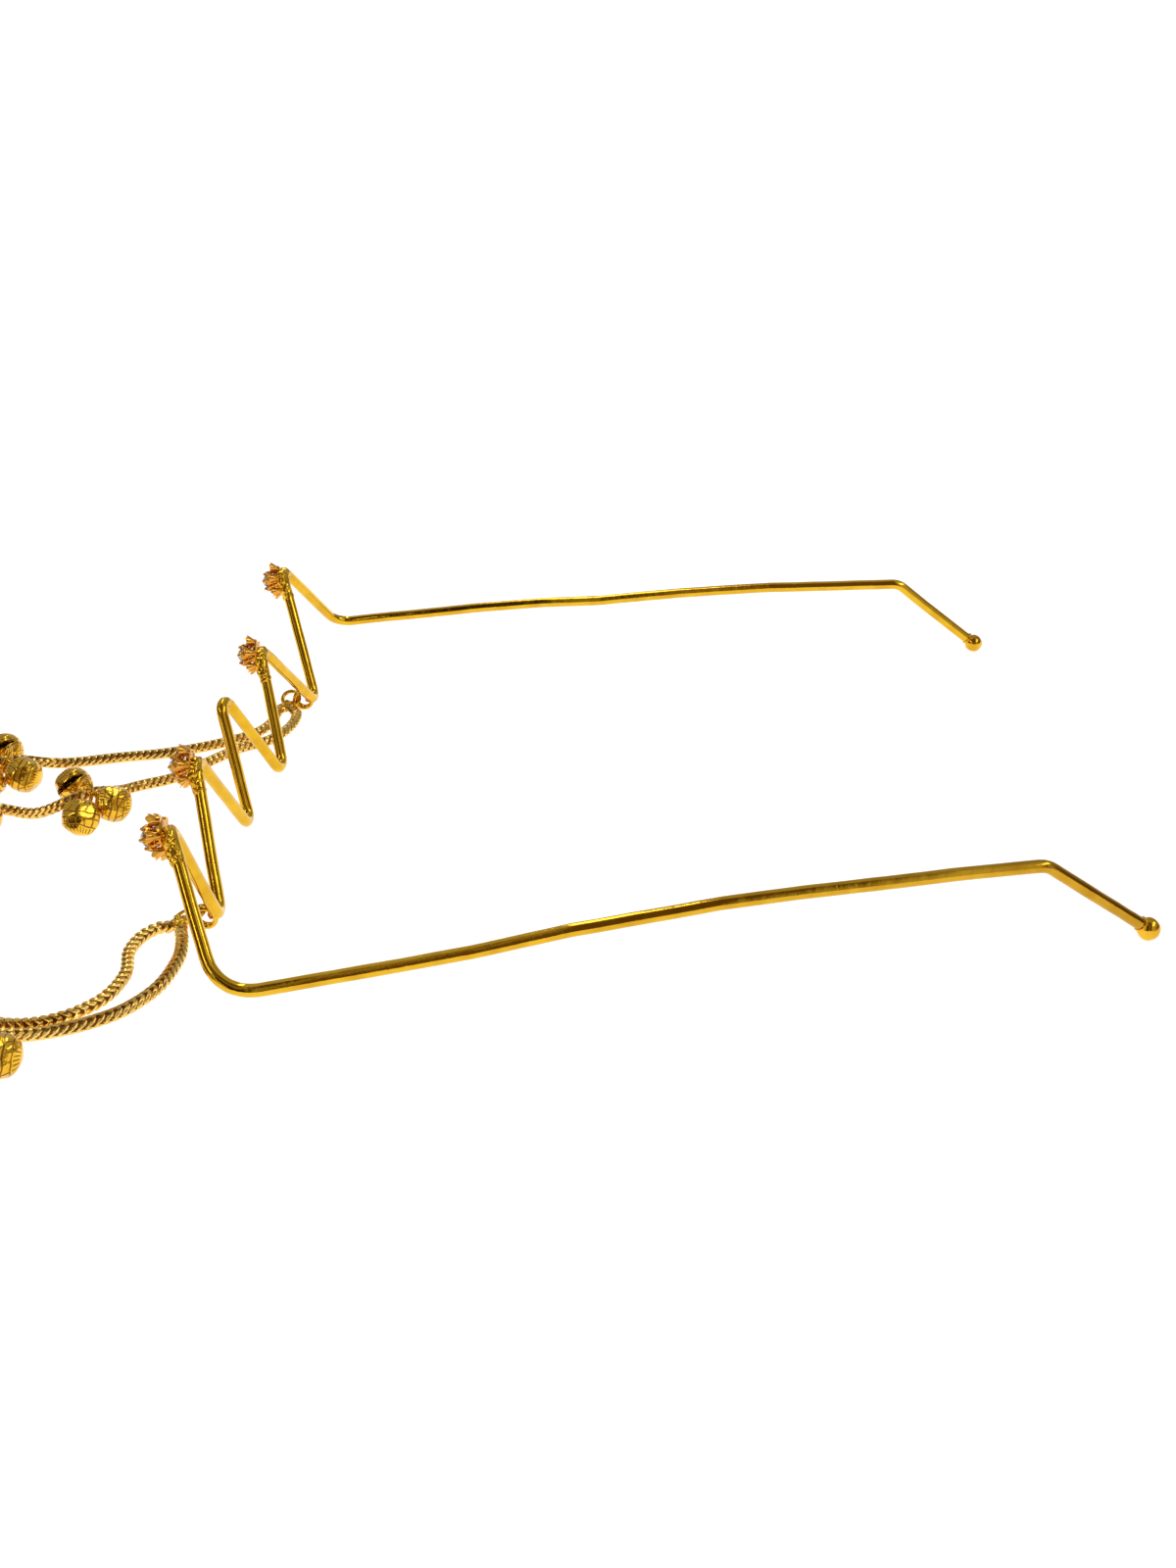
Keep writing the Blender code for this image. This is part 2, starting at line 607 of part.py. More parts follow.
def make_cluster(row, parts, cutters):
    centre, level, _, rise = cluster_ring_axes(row)
    loop = ring(CLUSTER_RING_DIAMETER, RING_WIRE, parts,
                frame_of(level, rise, level.cross(rise), centre))
    loop.name = f"ring_{row['name']}"
    shade_round(loop)
    pieces = [loop]
    for bell in BELLS:
        name = f"bell_{row['name']}{bell['name']}"
        pieces.append(make_bell(name, bell_place(row, bell), bell["roll"], parts, cutters))
    return pieces


def stand_on_origin(pieces):
    """Moves the whole so that its origin is the middle of its footprint, on the table."""
    bpy.context.view_layer.update()
    graph = bpy.context.evaluated_depsgraph_get()
    corners = []
    for piece in pieces:
        shape = piece.evaluated_get(graph)
        mesh = shape.to_mesh()
        corners += [piece.matrix_world @ vertex.co for vertex in mesh.vertices]
        shape.to_mesh_clear()
    low, high = (Vector([pick(c[i] for c in corners) for i in range(3)]) for pick in (min, max))
    origin = bpy.data.objects.new("face_chain_origin", None)
    bpy.context.scene.collection.objects.link(origin)
    for piece in pieces:
        piece.parent = origin
    origin.location = (-(low.x + high.x) / 2, -(low.y + high.y) / 2, -low.z)


def main():
    clear_scene()
    parts, cutters = make_collection("face_chain"), make_collection("cutters")
    gold = material("polished_gold", (0.83, 0.60, 0.12), 0.16, 1.0)
    pale_gold = material("chain_gold", (0.80, 0.62, 0.26), 0.28, 1.0)
    bell_gold = material("bell_gold", (0.82, 0.58, 0.11), 0.20, 1.0)
    clear = material("clear_stone", (0.95, 0.96, 0.97), 0.02, 0.0, 1.0)
    painted = [(make_frame(parts, cutters), gold)]
    for name, joint in (("end_ring_far", "far"), ("end_ring_near", "near")):
        painted.append((make_end_ring(name, joint, parts, cutters), gold))
    for number, row in enumerate(ROSETTES, start=1):
        painted.append((stone(f"stone_{number}", row, parts), clear))
    for name in CHAIN_ROUTES:
        painted.append((as_mesh(tube(name, chain_points(name), CHAIN_DIAMETER, parts), parts), pale_gold))
    for row in CLUSTERS:
        painted += [(piece, bell_gold) for piece in make_cluster(row, parts, cutters)]
    for piece, paint in painted:
        piece.data.materials.clear()
        piece.data.materials.append(paint)
    stand_on_origin([piece for piece, _ in painted])


main()
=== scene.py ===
"""Looks of the face chain: fine wire, rosettes, stones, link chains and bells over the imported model.

Sizes are in metres and degrees. X runs across the face (the wearer's left is +X), Y back to the
ears and Z up. Places are worked out as in the part's source and then moved by ORIGIN."""

from math import ceil, cos, degrees, exp, hypot, pi, radians, sin, sqrt, tan

import bmesh
import bpy
import numpy as np
from mathutils import Matrix, Vector, noise


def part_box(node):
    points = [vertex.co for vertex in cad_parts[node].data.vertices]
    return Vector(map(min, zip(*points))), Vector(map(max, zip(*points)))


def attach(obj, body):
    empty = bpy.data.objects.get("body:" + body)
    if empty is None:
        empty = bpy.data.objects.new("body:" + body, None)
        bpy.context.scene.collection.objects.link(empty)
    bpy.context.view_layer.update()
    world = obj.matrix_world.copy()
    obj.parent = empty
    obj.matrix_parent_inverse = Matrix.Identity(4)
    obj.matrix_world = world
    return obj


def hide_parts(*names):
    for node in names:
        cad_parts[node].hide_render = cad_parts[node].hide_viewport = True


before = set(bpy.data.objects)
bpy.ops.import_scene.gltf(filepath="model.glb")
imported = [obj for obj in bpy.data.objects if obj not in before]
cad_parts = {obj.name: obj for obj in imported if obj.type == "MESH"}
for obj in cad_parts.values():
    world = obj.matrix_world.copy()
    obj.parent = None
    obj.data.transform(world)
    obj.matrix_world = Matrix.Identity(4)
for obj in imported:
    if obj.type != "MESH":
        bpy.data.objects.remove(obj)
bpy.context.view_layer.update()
MM = 0.001
UP = Vector((0, 0, 1))


def table(keys, *rows):
    """Rows of values as dictionaries with the same keys."""
    return [dict(zip(keys.split(), row)) for row in rows]


# Sizes of the wire frame, as in the part's source
FRAME_WIDTH = 148.0 * MM
BOW_DEPTH = 11.0 * MM
BROW_RISE = 23.5 * MM
ARM_LENGTH = 148.4 * MM
ARM_ARCH = 1.6 * MM
WIRE_DIAMETER = 2.2 * MM
FOLD_RADIUS = 2.2 * MM
NEAR_CORNER_RADIUS = 7.5 * MM
FAR_CORNER_RADIUS = 4.5 * MM
EAR_BEND_RADIUS = 3.5 * MM
TIP_BALL_DIAMETER = 3.85 * MM

# Zigzag folds from the far side to the near side: across in shares of half the frame's width,
# back in shares of the bow's depth, and rise in shares of the brow's rise
ZIGZAG = table(
    "name across back rise",
    ("peak_1", -0.777, 0.32, 1.00),
    ("valley_1", -0.566, 0.86, 0.034),
    ("peak_2", -0.330, 0.31, 0.80),
    ("valley_2", -0.149, 0.62, 0.0),
    ("peak_3", 0.003, 0.00, 0.834),
    ("valley_3", 0.143, 0.36, 0.0),
    ("peak_4", 0.345, 0.03, 0.843),
    ("valley_4", 0.589, 0.44, 0.038),
    ("peak_5", 0.732, 0.22, 0.962),
)

# Corner, ear bend and tip of each arm: across in shares of half the frame's width, back in shares
# of the arm's length behind the corner, and rise in shares of the brow's rise
FAR_ARM = table("across back rise", (-0.996, 0.0, 0.213), (-0.823, 0.879, 0.651), (-0.799, 1.0, 0.0))
NEAR_ARM = table("across back rise", (1.004, 0.0, 0.213), (0.819, 0.874, 0.647), (0.785, 1.001, 0.0))

# How each arm rises above a straight line: share of the way, and rise in shares of the arm's arch
FAR_ARM_RISE = ((0.10, 0.46), (0.25, 0.84), (0.38, 0.92), (0.48, 0.62), (0.62, 0.94), (0.78, 0.84))
NEAR_ARM_RISE = ((0.12, 0.26), (0.30, 0.58), (0.42, 1.35), (0.60, 1.68), (0.72, 1.28), (0.88, 0.70))

# Sizes of the rosettes and stones
ROSETTE_DIAMETER = 7.8 * MM
PETAL_COUNT = 6
PETAL_DIAMETER = 2.4 * MM
PETAL_DEPTH = 1.7 * MM
PLATE_THICKNESS = 0.7 * MM
CUP_DIAMETER = 4.0 * MM
CUP_DEPTH = 2.3 * MM
SOLDER_BITE = 0.3 * MM
STONE_DIAMETER = 3.1 * MM
STONE_CROWN = 0.7 * MM
STONE_PAVILION = 1.0 * MM
CLEARANCE = 0.3 * MM

# Rosettes: the peak each is soldered to, its drop in shares of its diameter, and its forward lean
ROSETTES = table(
    "peak drop lean",
    ("peak_1", 0.16, 3.0), ("peak_2", 0.0, 0.0), ("peak_4", 0.02, 0.0), ("peak_5", 0.03, 10.0),
)

# Joints, chains and bells
EYE_DIAMETER = 4.5 * MM
END_RING_DIAMETER = 4.4 * MM
RING_WIRE = 0.7 * MM
SOLDER_BEAD_DIAMETER = 2.0 * MM
CLUSTER_RING_DIAMETER = 6.6 * MM
CLUSTER_RING_HEIGHT = 4.6 * MM
CHAIN_DIAMETER = 2.0 * MM
CHAIN_LIFT_REACH = 7.5 * MM
CHAIN_STEP = 5.8 * MM
BELL_DIAMETER = 7.0 * MM
BELL_WALL = 0.5 * MM
BELL_SLIT = 1.1 * MM
BELL_EYE_DIAMETER = 3.0 * MM
BELL_EYE_WIRE = 0.6 * MM
EYE_PLAY = 0.12 * MM
PAIR_FAN = 41.0
RING_TILT = 30.0

# Joints between the frame and the chains: the valley, and how far round the end ring the bead sits;
# then the ways from the wire to the eye, to the end ring and from its centre to the bead
JOINTS = {"far": {"valley": "valley_1", "round": 90.0}, "near": {"valley": "valley_4", "round": 50.0}}
JOINT_WAYS = ((0.72, -0.66, 0.1), (-0.1, -0.98, 0.05), (0.75, -0.35, -0.55))

# Chain routes in millimetres, as drawn for solder beads at these two places
DRAWN_FAR_BEAD = (-38.9, 5.0)
DRAWN_NEAR_BEAD = (46.2, -0.9)
CHAIN_ROUTES = {
    "chain_outer": (
        (-38.3, 3.1), (-36.2, 2.6), (-31.8, 2.2), (-27.4, 0.2), (-24.2, -3.8), (-21.1, -10.2),
        (-18.6, -18.5), (-17.2, -28.5), (-14.6, -38.5), (-10.8, -47.0), (-7.6, -57.0), (-2.0, -66.5),
        (9.0, -75.5), (25.0, -80.0), (44.0, -80.0), (61.0, -74.5), (75.0, -63.5), (84.0, -49.5),
        (86.2, -36.5), (82.2, -27.6), (78.0, -21.6), (75.4, -16.5), (72.7, -10.0), (69.3, -4.8),
        (63.5, -0.9), (56.0, 0.6), (50.8, 0.1), (47.6, -0.7),
    ),
    "chain_inner": (
        (-37.3, 6.0), (-35.4, 7.0), (-31.2, 6.9), (-26.6, 5.4), (-22.8, 2.6), (-19.9, -2.5),
        (-13.3, -8.7), (-7.8, -13.6), (-4.3, -19.8), (1.2, -24.2), (5.8, -29.3), (6.8, -36.0),
        (5.4, -43.0), (7.6, -51.2), (14.0, -58.4), (26.0, -62.0), (39.0, -60.0), (51.0, -53.0),
        (60.5, -43.0), (68.0, -32.0), (72.2, -23.0), (71.5, -15.4), (66.8, -9.4), (60.0, -7.2),
        (53.6, -8.1), (49.0, -6.9), (46.6, -4.6), (46.2, -2.4),
    ),
}

# Clusters of bells: the chain, the share of its length, the side of the pair of bells, the way the
# ring leans, its turn in degrees, and the swing of the single bell in shares of the fan
CLUSTERS = table(
    "name chain along side lean turn swing",
    ("outer_1", "chain_outer", 0.242, 1, -1, -2.0, 0.0),
    ("outer_2", "chain_outer", 0.423, -1, -1, 8.0, 0.3),
    ("outer_3", "chain_outer", 0.602, -1, 1, 8.0, 0.0),
    ("outer_4", "chain_outer", 0.817, -1, 1, 6.0, -0.3),
    ("inner_1", "chain_inner", 0.277, 1, -1, 4.0, 0.5),
    ("inner_2", "chain_inner", 0.392, 1, -1, 0.0, -0.6),
    ("inner_3", "chain_inner", 0.555, -1, 1, 8.0, -0.3),
    ("inner_4", "chain_inner", 0.694, -1, 1, 8.0, 0.3),
)

# The bells of a cluster: their side, fan and climb on its ring, how the bell is turned (roll, slide
# and tip in degrees) and how square its shape is
BELLS = table(
    "name side fan climb roll slide tip square",
    ("a", 1, 1.0, 30.0, 87.0, -23.0, 95.0, 2.3),
    ("b", 1, -1.0, -30.0, -21.0, -167.0, -40.0, 2.5),
    ("c", -1, 0.0, -10.0, 58.0, -8.0, 147.0, 2.2),
)

# Sizes of what only the looks have
WIRE_WANDER = 0.16 * MM          # how far the hand-bent wire strays from its line
WANDER_SEED = 7
WIRE_STEP = 0.9 * MM
WIRE_SIDES = 20
TIP_COLLAR_WIRE = 0.5 * MM
JOINT_WIRE = 0.84 * MM           # wire of the doubled eyes and the end rings
CLAW_THICKNESS = 0.62 * MM
LINK_PITCH = 1.36 * MM
LINK_WIRE = 0.81 * MM
LINK_REACH = 0.70 * MM           # how far a link's corners lean forward and back
LINK_POINTS = 20
LINK_SIDES = 6
LINK_SQUARENESS = 3.2
LINK_FLAT = 1.07                 # half width of a chain's flat sides, in shares of its radius
# Radius of the dark tube of painted shade inside a chain, in shares of the chain's radius
SHADE_CORE_SHARE = 0.86
STROKE_PITCH = 0.92 * MM         # between the chiselled strokes of a bell
STROKE_WIDTH = 0.34 * MM
BLOCK_PITCH = 1.83 * MM          # between the cuts of the broad row beside a bell's seam
BELL_SHARE = 0.985               # a bell's radius in shares of the solid's
SHELL_SHARE = 0.8                # its wall in shares of the solid's
BELL_ROWS = 34
BELL_COLUMNS = 52
FACET_COUNT = 11
FACET_REACH = 0.945              # how far out a hammered facet lies, in shares of the radius
LIP_RISE = 1.02                  # how proud the lips of the slit stand, in shares of the radius

# The two turns of a joint's eye: tilt in degrees and offset along its axis in millimetres
EYE_TURNS = ((5.0, -0.42), (-6.0, 0.38))

# The drops of solder round a joint's bead: place and size in shares of the bead's
BEAD_DROPS = (((-0.5, -0.5, 0.35), 0.62), ((0.6, -0.3, 0.1), 0.6), ((-0.2, 0.6, 0.3), 0.66))

# Profiles of a rosette's cup and petals from the foot to the inside: the radius in shares of the
# cup's or the petal's, the height in shares of the plate's thickness and of the depth (the petal's
# depth counts half the plate), and how high the claws of the rim rise, in millimetres
CUP_PROFILE = (
    (0.60, 0.5, 0.0, 0.0), (0.66, 1.0, 0.35, 0.0), (0.84, 1.0, 0.68, 0.1), (0.99, 1.0, 1.0, 0.55),
    (0.90, 1.03, 1.03, 0.5), (0.76, 0.92, 0.92, 0.2), (0.50, 1.0, 0.45, 0.0), (0.05, 1.0, 0.4, 0.0),
)
PETAL_PROFILE = (
    (0.46, 0.1, 0.0, 0.0), (0.48, 0.0, 0.40, 0.0), (0.76, 0.0, 0.72, 0.1), (0.92, 0.0, 0.98, 0.5),
    (0.78, 0.0, 1.0, 0.45), (0.60, 0.0, 0.86, 0.15), (0.05, 0.0, 0.70, 0.0),
)
PLATE_PROFILE = ((0.0, 0.0), (0.90, 0.0), (0.98, 0.3), (0.96, 0.8), (0.84, 1.0), (0.0, 1.0))
PETAL_LEAN = 12.0
ROSETTE_CLAWS = 4

# A stone's corners from the table down: radius in shares of the stone's, height, how many there are,
# and their turn in shares of the spacing
STONE_CORNERS = (
    (0.56, STONE_CROWN, 8, 0), (0.80, STONE_CROWN * 0.58, 8, 0.5), (1.0, STONE_CROWN * 0.1, 16, 0),
    (1.0, 0, 16, 0), (0.52, -STONE_PAVILION * 0.56, 8, 0.5),
)

# The lumps of solder along the wire from a peak towards the near side: the distance, how far they
# stand forward, and their half sizes across, forward and along the wire, in millimetres
SOLDER_LUMPS = (
    (-1.0, 0.45, (1.38, 1.40, 1.3)), (0.5, 0.55, (1.50, 1.50, 1.4)), (2.1, 0.40, (1.42, 1.45, 1.6)),
    (3.8, 0.25, (1.34, 1.34, 1.5)), (5.3, 0.10, (1.22, 1.22, 1.4)), (0.9, 1.35, (1.1, 0.8, 1.2)),
)

# How far each chain is turned about itself: share of its length and degrees
CHAIN_TWISTS = {
    "chain_outer": ((0.0, -55.0), (0.08, -66.0), (0.25, -70.0), (0.80, -112.0), (0.88, -118.0),
                    (1.0, -118.0)),
    "chain_inner": ((0.0, -50.0), (0.12, -61.0), (0.30, -61.0), (0.85, -70.0), (1.0, -76.0)),
}


# Places, worked out as in the part's source

def spin(angle, axis="Z"):
    return Matrix.Rotation(radians(angle), 4, axis)


def round_spot(radius, angle, height=0.0):
    return Vector((radius * cos(angle), radius * sin(angle), height))


def frame_of(x_way, y_way, z_way, place):
    return Matrix.Translation(place) @ Matrix((x_way, y_way, z_way)).transposed().to_4x4()


def station(row):
    return Vector((row["across"] * FRAME_WIDTH / 2, row["back"] * BOW_DEPTH,
                   WIRE_DIAMETER / 2 + row["rise"] * BROW_RISE))


def fold(name):
    return station(next(row for row in ZIGZAG if row["name"] == name))


def arm_points(rows, rise):
    corner, ear_bend, tip = (
        Vector((row["across"] * FRAME_WIDTH / 2, BOW_DEPTH + row["back"] * ARM_LENGTH,
                WIRE_DIAMETER / 2 + row["rise"] * BROW_RISE)) for row in rows)
    tip.z = TIP_BALL_DIAMETER / 2
    arch = [corner.lerp(ear_bend, share) + UP * ARM_ARCH * height for share, height in rise]
    return corner, arch, ear_bend, tip


def frame_stations():
    far_corner, far_arch, far_bend, far_tip = arm_points(FAR_ARM, FAR_ARM_RISE)
    near_corner, near_arch, near_bend, near_tip = arm_points(NEAR_ARM, NEAR_ARM_RISE)
    stops = [(far_tip, 0, False), (far_bend, EAR_BEND_RADIUS, False)]
    stops += [(point, 0, False) for point in reversed(far_arch)]
    stops += [(far_corner, FAR_CORNER_RADIUS, False)]
    stops += [(station(row), FOLD_RADIUS, True) for row in ZIGZAG]
    stops += [(near_corner, NEAR_CORNER_RADIUS, False)]
    stops += [(point, 0, False) for point in near_arch]
    stops += [(near_bend, EAR_BEND_RADIUS, False), (near_tip, 0, False)]
    return stops


def ways_out(corners, i):
    """The ways from a corner to the corners before and after it."""
    return (corners[i - 1] - corners[i]).normalized(), (corners[i + 1] - corners[i]).normalized()


def bend_corners(stops):
    corners = [point.copy() for point, _, _ in stops]
    for _ in range(12):
        for i in range(1, len(stops) - 1):
            point, radius, touches = stops[i]
            if not touches:
                continue
            before, after = ways_out(corners, i)
            half = before.angle(after) / 2
            corners[i] = point - (before + after).normalized() * radius * (1 / sin(half) - 1)
    return corners


def bend_arc(corner, before, after, radius):
    half = before.angle(after) / 2
    middle = corner + (before + after).normalized() * radius / sin(half)
    start = corner + before * radius / tan(half) - middle
    end = corner + after * radius / tan(half) - middle
    turn = start.angle(end)
    steps = max(2, ceil(degrees(turn) / 12))
    return [middle + (start * sin(turn * (1 - k / steps)) + end * sin(turn * k / steps))
            / sin(turn) for k in range(steps + 1)]


def frame_route():
    stops = frame_stations()
    corners = bend_corners(stops)
    route = [corners[0]]
    for i in range(1, len(stops) - 1):
        radius = stops[i][1]
        if radius == 0:
            route.append(corners[i])
            continue
        route += bend_arc(corners[i], *ways_out(corners, i), radius)
    return route + [corners[-1]]


def rosette_place(row):
    peak = fold(row["peak"])
    back = peak + Vector((0, -WIRE_DIAMETER / 2 + SOLDER_BITE, -row["drop"] * ROSETTE_DIAMETER))
    return Matrix.Translation(back) @ spin(90 + row["lean"], "X")


def stone_place(row):
    return rosette_place(row) @ Matrix.Translation((0, 0, PLATE_THICKNESS + CUP_DEPTH + CLEARANCE))


def joint_points(name):
    joint = JOINTS[name]
    eye_way, ring_way, bead_way = (Vector(way).normalized() for way in JOINT_WAYS)
    eye_radius = (EYE_DIAMETER - RING_WIRE) / 2
    ring_radius = (END_RING_DIAMETER - RING_WIRE) / 2
    eye = fold(joint["valley"]) + eye_way * (WIRE_DIAMETER / 2 + EYE_DIAMETER / 2 - 2 * SOLDER_BITE)
    eye.z = EYE_DIAMETER / 2
    end_ring = eye + ring_way * (eye_radius + ring_radius - RING_WIRE - CLEARANCE)
    down = (bead_way - ring_way * bead_way.dot(ring_way)).normalized()
    turn = radians(joint["round"])
    bead = end_ring + (ring_way * cos(turn) + down * sin(turn)) * ring_radius
    return eye, end_ring, bead


def fit_to_beads(x, y):
    far, near = joint_points("far")[2], joint_points("near")[2]
    drawn_far, drawn_near = Vector(DRAWN_FAR_BEAD) * MM, Vector(DRAWN_NEAR_BEAD) * MM
    scale = (near.x - far.x) / (drawn_near.x - drawn_far.x)
    share = min(max((x * MM - drawn_far.x) / (drawn_near.x - drawn_far.x), 0), 1)
    drawn_line = drawn_far.y + (drawn_near.y - drawn_far.y) * share
    line = far.y + (near.y - far.y) * share
    return Vector((far.x + (x * MM - drawn_far.x) * scale, line + (y * MM - drawn_line) * scale, 0))


def evenly_spaced(points, spacing):
    """Points at even distances along a line of many points."""
    total = sum((q - p).length for p, q in zip(points, points[1:]))
    count = max(2, round(total / spacing))
    evenly, walked, k = [], 0.0, 0
    for i in range(count + 1):
        goal = min(total * i / count, total * 0.999999)
        while walked + (points[k + 1] - points[k]).length < goal:
            walked += (points[k + 1] - points[k]).length
            k += 1
        run = points[k + 1] - points[k]
        evenly.append(points[k] + run * ((goal - walked) / run.length))
    return evenly


def smooth_route(points, spacing):
    ends = [points[0] * 2 - points[1]] + points + [points[-1] * 2 - points[-2]]
    fine = []
    for a, b, c, d in zip(ends, ends[1:], ends[2:], ends[3:]):
        for k in range(16):
            t = k / 16
            fine.append(0.5 * (2 * b + (c - a) * t + (2 * a - 5 * b + 4 * c - d) * t * t
                               + (3 * b - a - 3 * c + d) * t ** 3))
    fine.append(points[-1])
    return evenly_spaced(fine, spacing)


def chain_plan(name, spacing):
    return smooth_route([fit_to_beads(x, y) for x, y in CHAIN_ROUTES[name]], spacing)


def cluster_seat(row):
    fine = chain_plan(row["chain"], CHAIN_STEP / 16)
    i = min(max(round(row["along"] * (len(fine) - 1)), 4), len(fine) - 5)
    heading = (fine[i + 4] - fine[i - 4]).normalized()
    return Vector((fine[i].x, fine[i].y, CLUSTER_RING_HEIGHT)), heading


def chain_points(name, spacing):
    seats = [cluster_seat(row)[0] for row in CLUSTERS if row["chain"] == name]
    points = []
    for point in chain_plan(name, spacing):
        height = CHAIN_DIAMETER / 2
        for seat in seats:
            away = hypot(point.x - seat.x, point.y - seat.y) / CHAIN_LIFT_REACH
            height += (CLUSTER_RING_HEIGHT - CHAIN_DIAMETER / 2) * exp(-away * away)
        points.append(Vector((point.x, point.y, height)))
    return points


def cluster_ring_axes(row):
    centre, heading = cluster_seat(row)
    turn, tilt = radians(row["turn"]), radians(RING_TILT)
    side_way, lean_way = UP.cross(heading) * row["side"], heading * row["lean"]
    level = side_way * cos(turn) + lean_way * sin(turn)
    ahead = lean_way * cos(turn) - side_way * sin(turn)
    return centre, level, ahead, UP * cos(tilt) + ahead * sin(tilt)


def bell_place(row, bell):
    centre, level, ahead, rise = cluster_ring_axes(row)
    out = level * bell["side"]
    climb = radians(bell["climb"])
    radius = (CLUSTER_RING_DIAMETER - RING_WIRE) / 2
    hold = centre + out * radius * cos(climb) + rise * radius * sin(climb)
    along_wire = rise * cos(climb) - out * sin(climb)
    reach = BELL_DIAMETER / 2 + BELL_EYE_DIAMETER / 2 - BELL_EYE_WIRE + EYE_PLAY
    fall = BELL_DIAMETER / 2 - hold.z
    swing = row["swing"] if bell["side"] < 0 else 0.0
    fan = radians(PAIR_FAN) * (bell["fan"] + swing)
    way = out * cos(fan) + ahead * sin(fan)
    middle = hold + way * sqrt(reach ** 2 - fall ** 2) + UP * fall
    axis = (hold - middle).normalized()
    y_way = (along_wire - axis * along_wire.dot(axis)).normalized()
    return frame_of(y_way.cross(axis), y_way, axis, middle)


def find_origin():
    """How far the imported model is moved: where a level stone lies, less where it was worked out."""
    low, high = (Vector(corner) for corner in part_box("stone_2"))
    middle = stone_place(ROSETTES[1]) @ Vector((0, 0, (STONE_CROWN - STONE_PAVILION) / 2))
    return Matrix.Translation((low + high) / 2 - middle)


ORIGIN = find_origin()


# Materials

def nodes_of(name):
    paint = bpy.data.materials.new(name)
    paint.use_nodes = True
    return paint, paint.node_tree, paint.node_tree.nodes["Principled BSDF"]


def add_node(tree, kind, inputs=(), **settings):
    """A shader node with its settings, its input values and its links."""
    node = tree.nodes.new(kind)
    for key, value in settings.items():
        setattr(node, key, value)
    for key, value in dict(inputs).items():
        if isinstance(value, bpy.types.NodeSocket):
            tree.links.new(value, node.inputs[key])
        else:
            node.inputs[key].default_value = value
    return node


def calc(tree, operation, first, second=0.5, third=0.0, clamp=False):
    """What a Math node makes of its inputs."""
    return add_node(tree, "ShaderNodeMath", {0: first, 1: second, 2: third},
                    operation=operation, use_clamp=clamp).outputs[0]


def ramp(tree, factor, stops):
    node = add_node(tree, "ShaderNodeValToRGB", {"Fac": factor})
    while len(node.color_ramp.elements) < len(stops):
        node.color_ramp.elements.new(0.5)
    for element, (spot, colour) in zip(node.color_ramp.elements, stops):
        element.position = spot
        element.color = (*colour, 1)
    return node.outputs["Color"]


def grey(value):
    return (value, value, value)


# Scales of the gold's marks, as their number along a metre
CLOUDS, WEAR, SCRATCHES, RIPPLES, PITS = 260.0, 900.0, 4200.0, 420.0, 520.0
# Painted shade on the near arm: where it starts behind the front, its length and soft edge across
SHADE_FROM, SHADE_LENGTH, SHADE_EDGE = 12.0 * MM, 160.0 * MM, 30.0 * MM
# Painted shade in a bell's cut grooves and seams
BELL_CUT_SHADE_COLOUR = (0.16, 0.055, 0.006)


def gold(name, bright, deep, roughness, grain=0.5, ripple=0.3, pits=0.25):
    """Polished gold wash: cloudy colour, uneven polish, fine scratches, soft ripples and pits."""
    paint, tree, shader = nodes_of(name)
    spot = add_node(tree, "ShaderNodeTexCoord").outputs["Object"]

    def noise_of(scale, detail, **more):
        return add_node(tree, "ShaderNodeTexNoise", {"Vector": spot, "Scale": scale, "Detail": detail,
                                                     **more}).outputs["Fac"]

    colour = ramp(tree, noise_of(CLOUDS, 4.0), ((0.33, deep), (0.62, bright)))
    tree.links.new(colour, shader.inputs["Base Color"])
    polish = ramp(tree, noise_of(WEAR, 6.0, Roughness=0.62),
                  ((0.30, grey(roughness * 0.45)), (0.55, grey(roughness)),
                   (0.75, grey(min(1.0, roughness * 2.4)))))
    tree.links.new(polish, shader.inputs["Roughness"])
    shader.inputs["Metallic"].default_value = 1.0
    pit = add_node(tree, "ShaderNodeTexVoronoi", {"Vector": spot, "Scale": PITS})
    hole = ramp(tree, pit.outputs["Distance"], ((0.0, grey(0.0)), (0.16, grey(1.0))))
    normal = None
    for height, strength, depth in ((noise_of(SCRATCHES, 3.0), grain, 0.02),
                                    (noise_of(RIPPLES, 2.0), ripple, 0.18), (hole, pits, 0.05)):
        inputs = {"Height": height, "Strength": strength, "Distance": depth * MM}
        if normal:
            inputs["Normal"] = normal
        normal = add_node(tree, "ShaderNodeBump", inputs).outputs["Normal"]
    tree.links.new(normal, shader.inputs["Normal"])
    return paint


def mix_colour(tree, factor, first, second, blend="MIX"):
    """A colour between two others, each a socket or a plain colour."""
    mix = add_node(tree, "ShaderNodeMix", {"Factor": factor}, data_type="RGBA", blend_type=blend)
    for socket, colour in ((mix.inputs[6], first), (mix.inputs[7], second)):
        if isinstance(colour, bpy.types.NodeSocket):
            tree.links.new(colour, socket)
        else:
            socket.default_value = (*colour, 1)
    return mix.outputs[2]


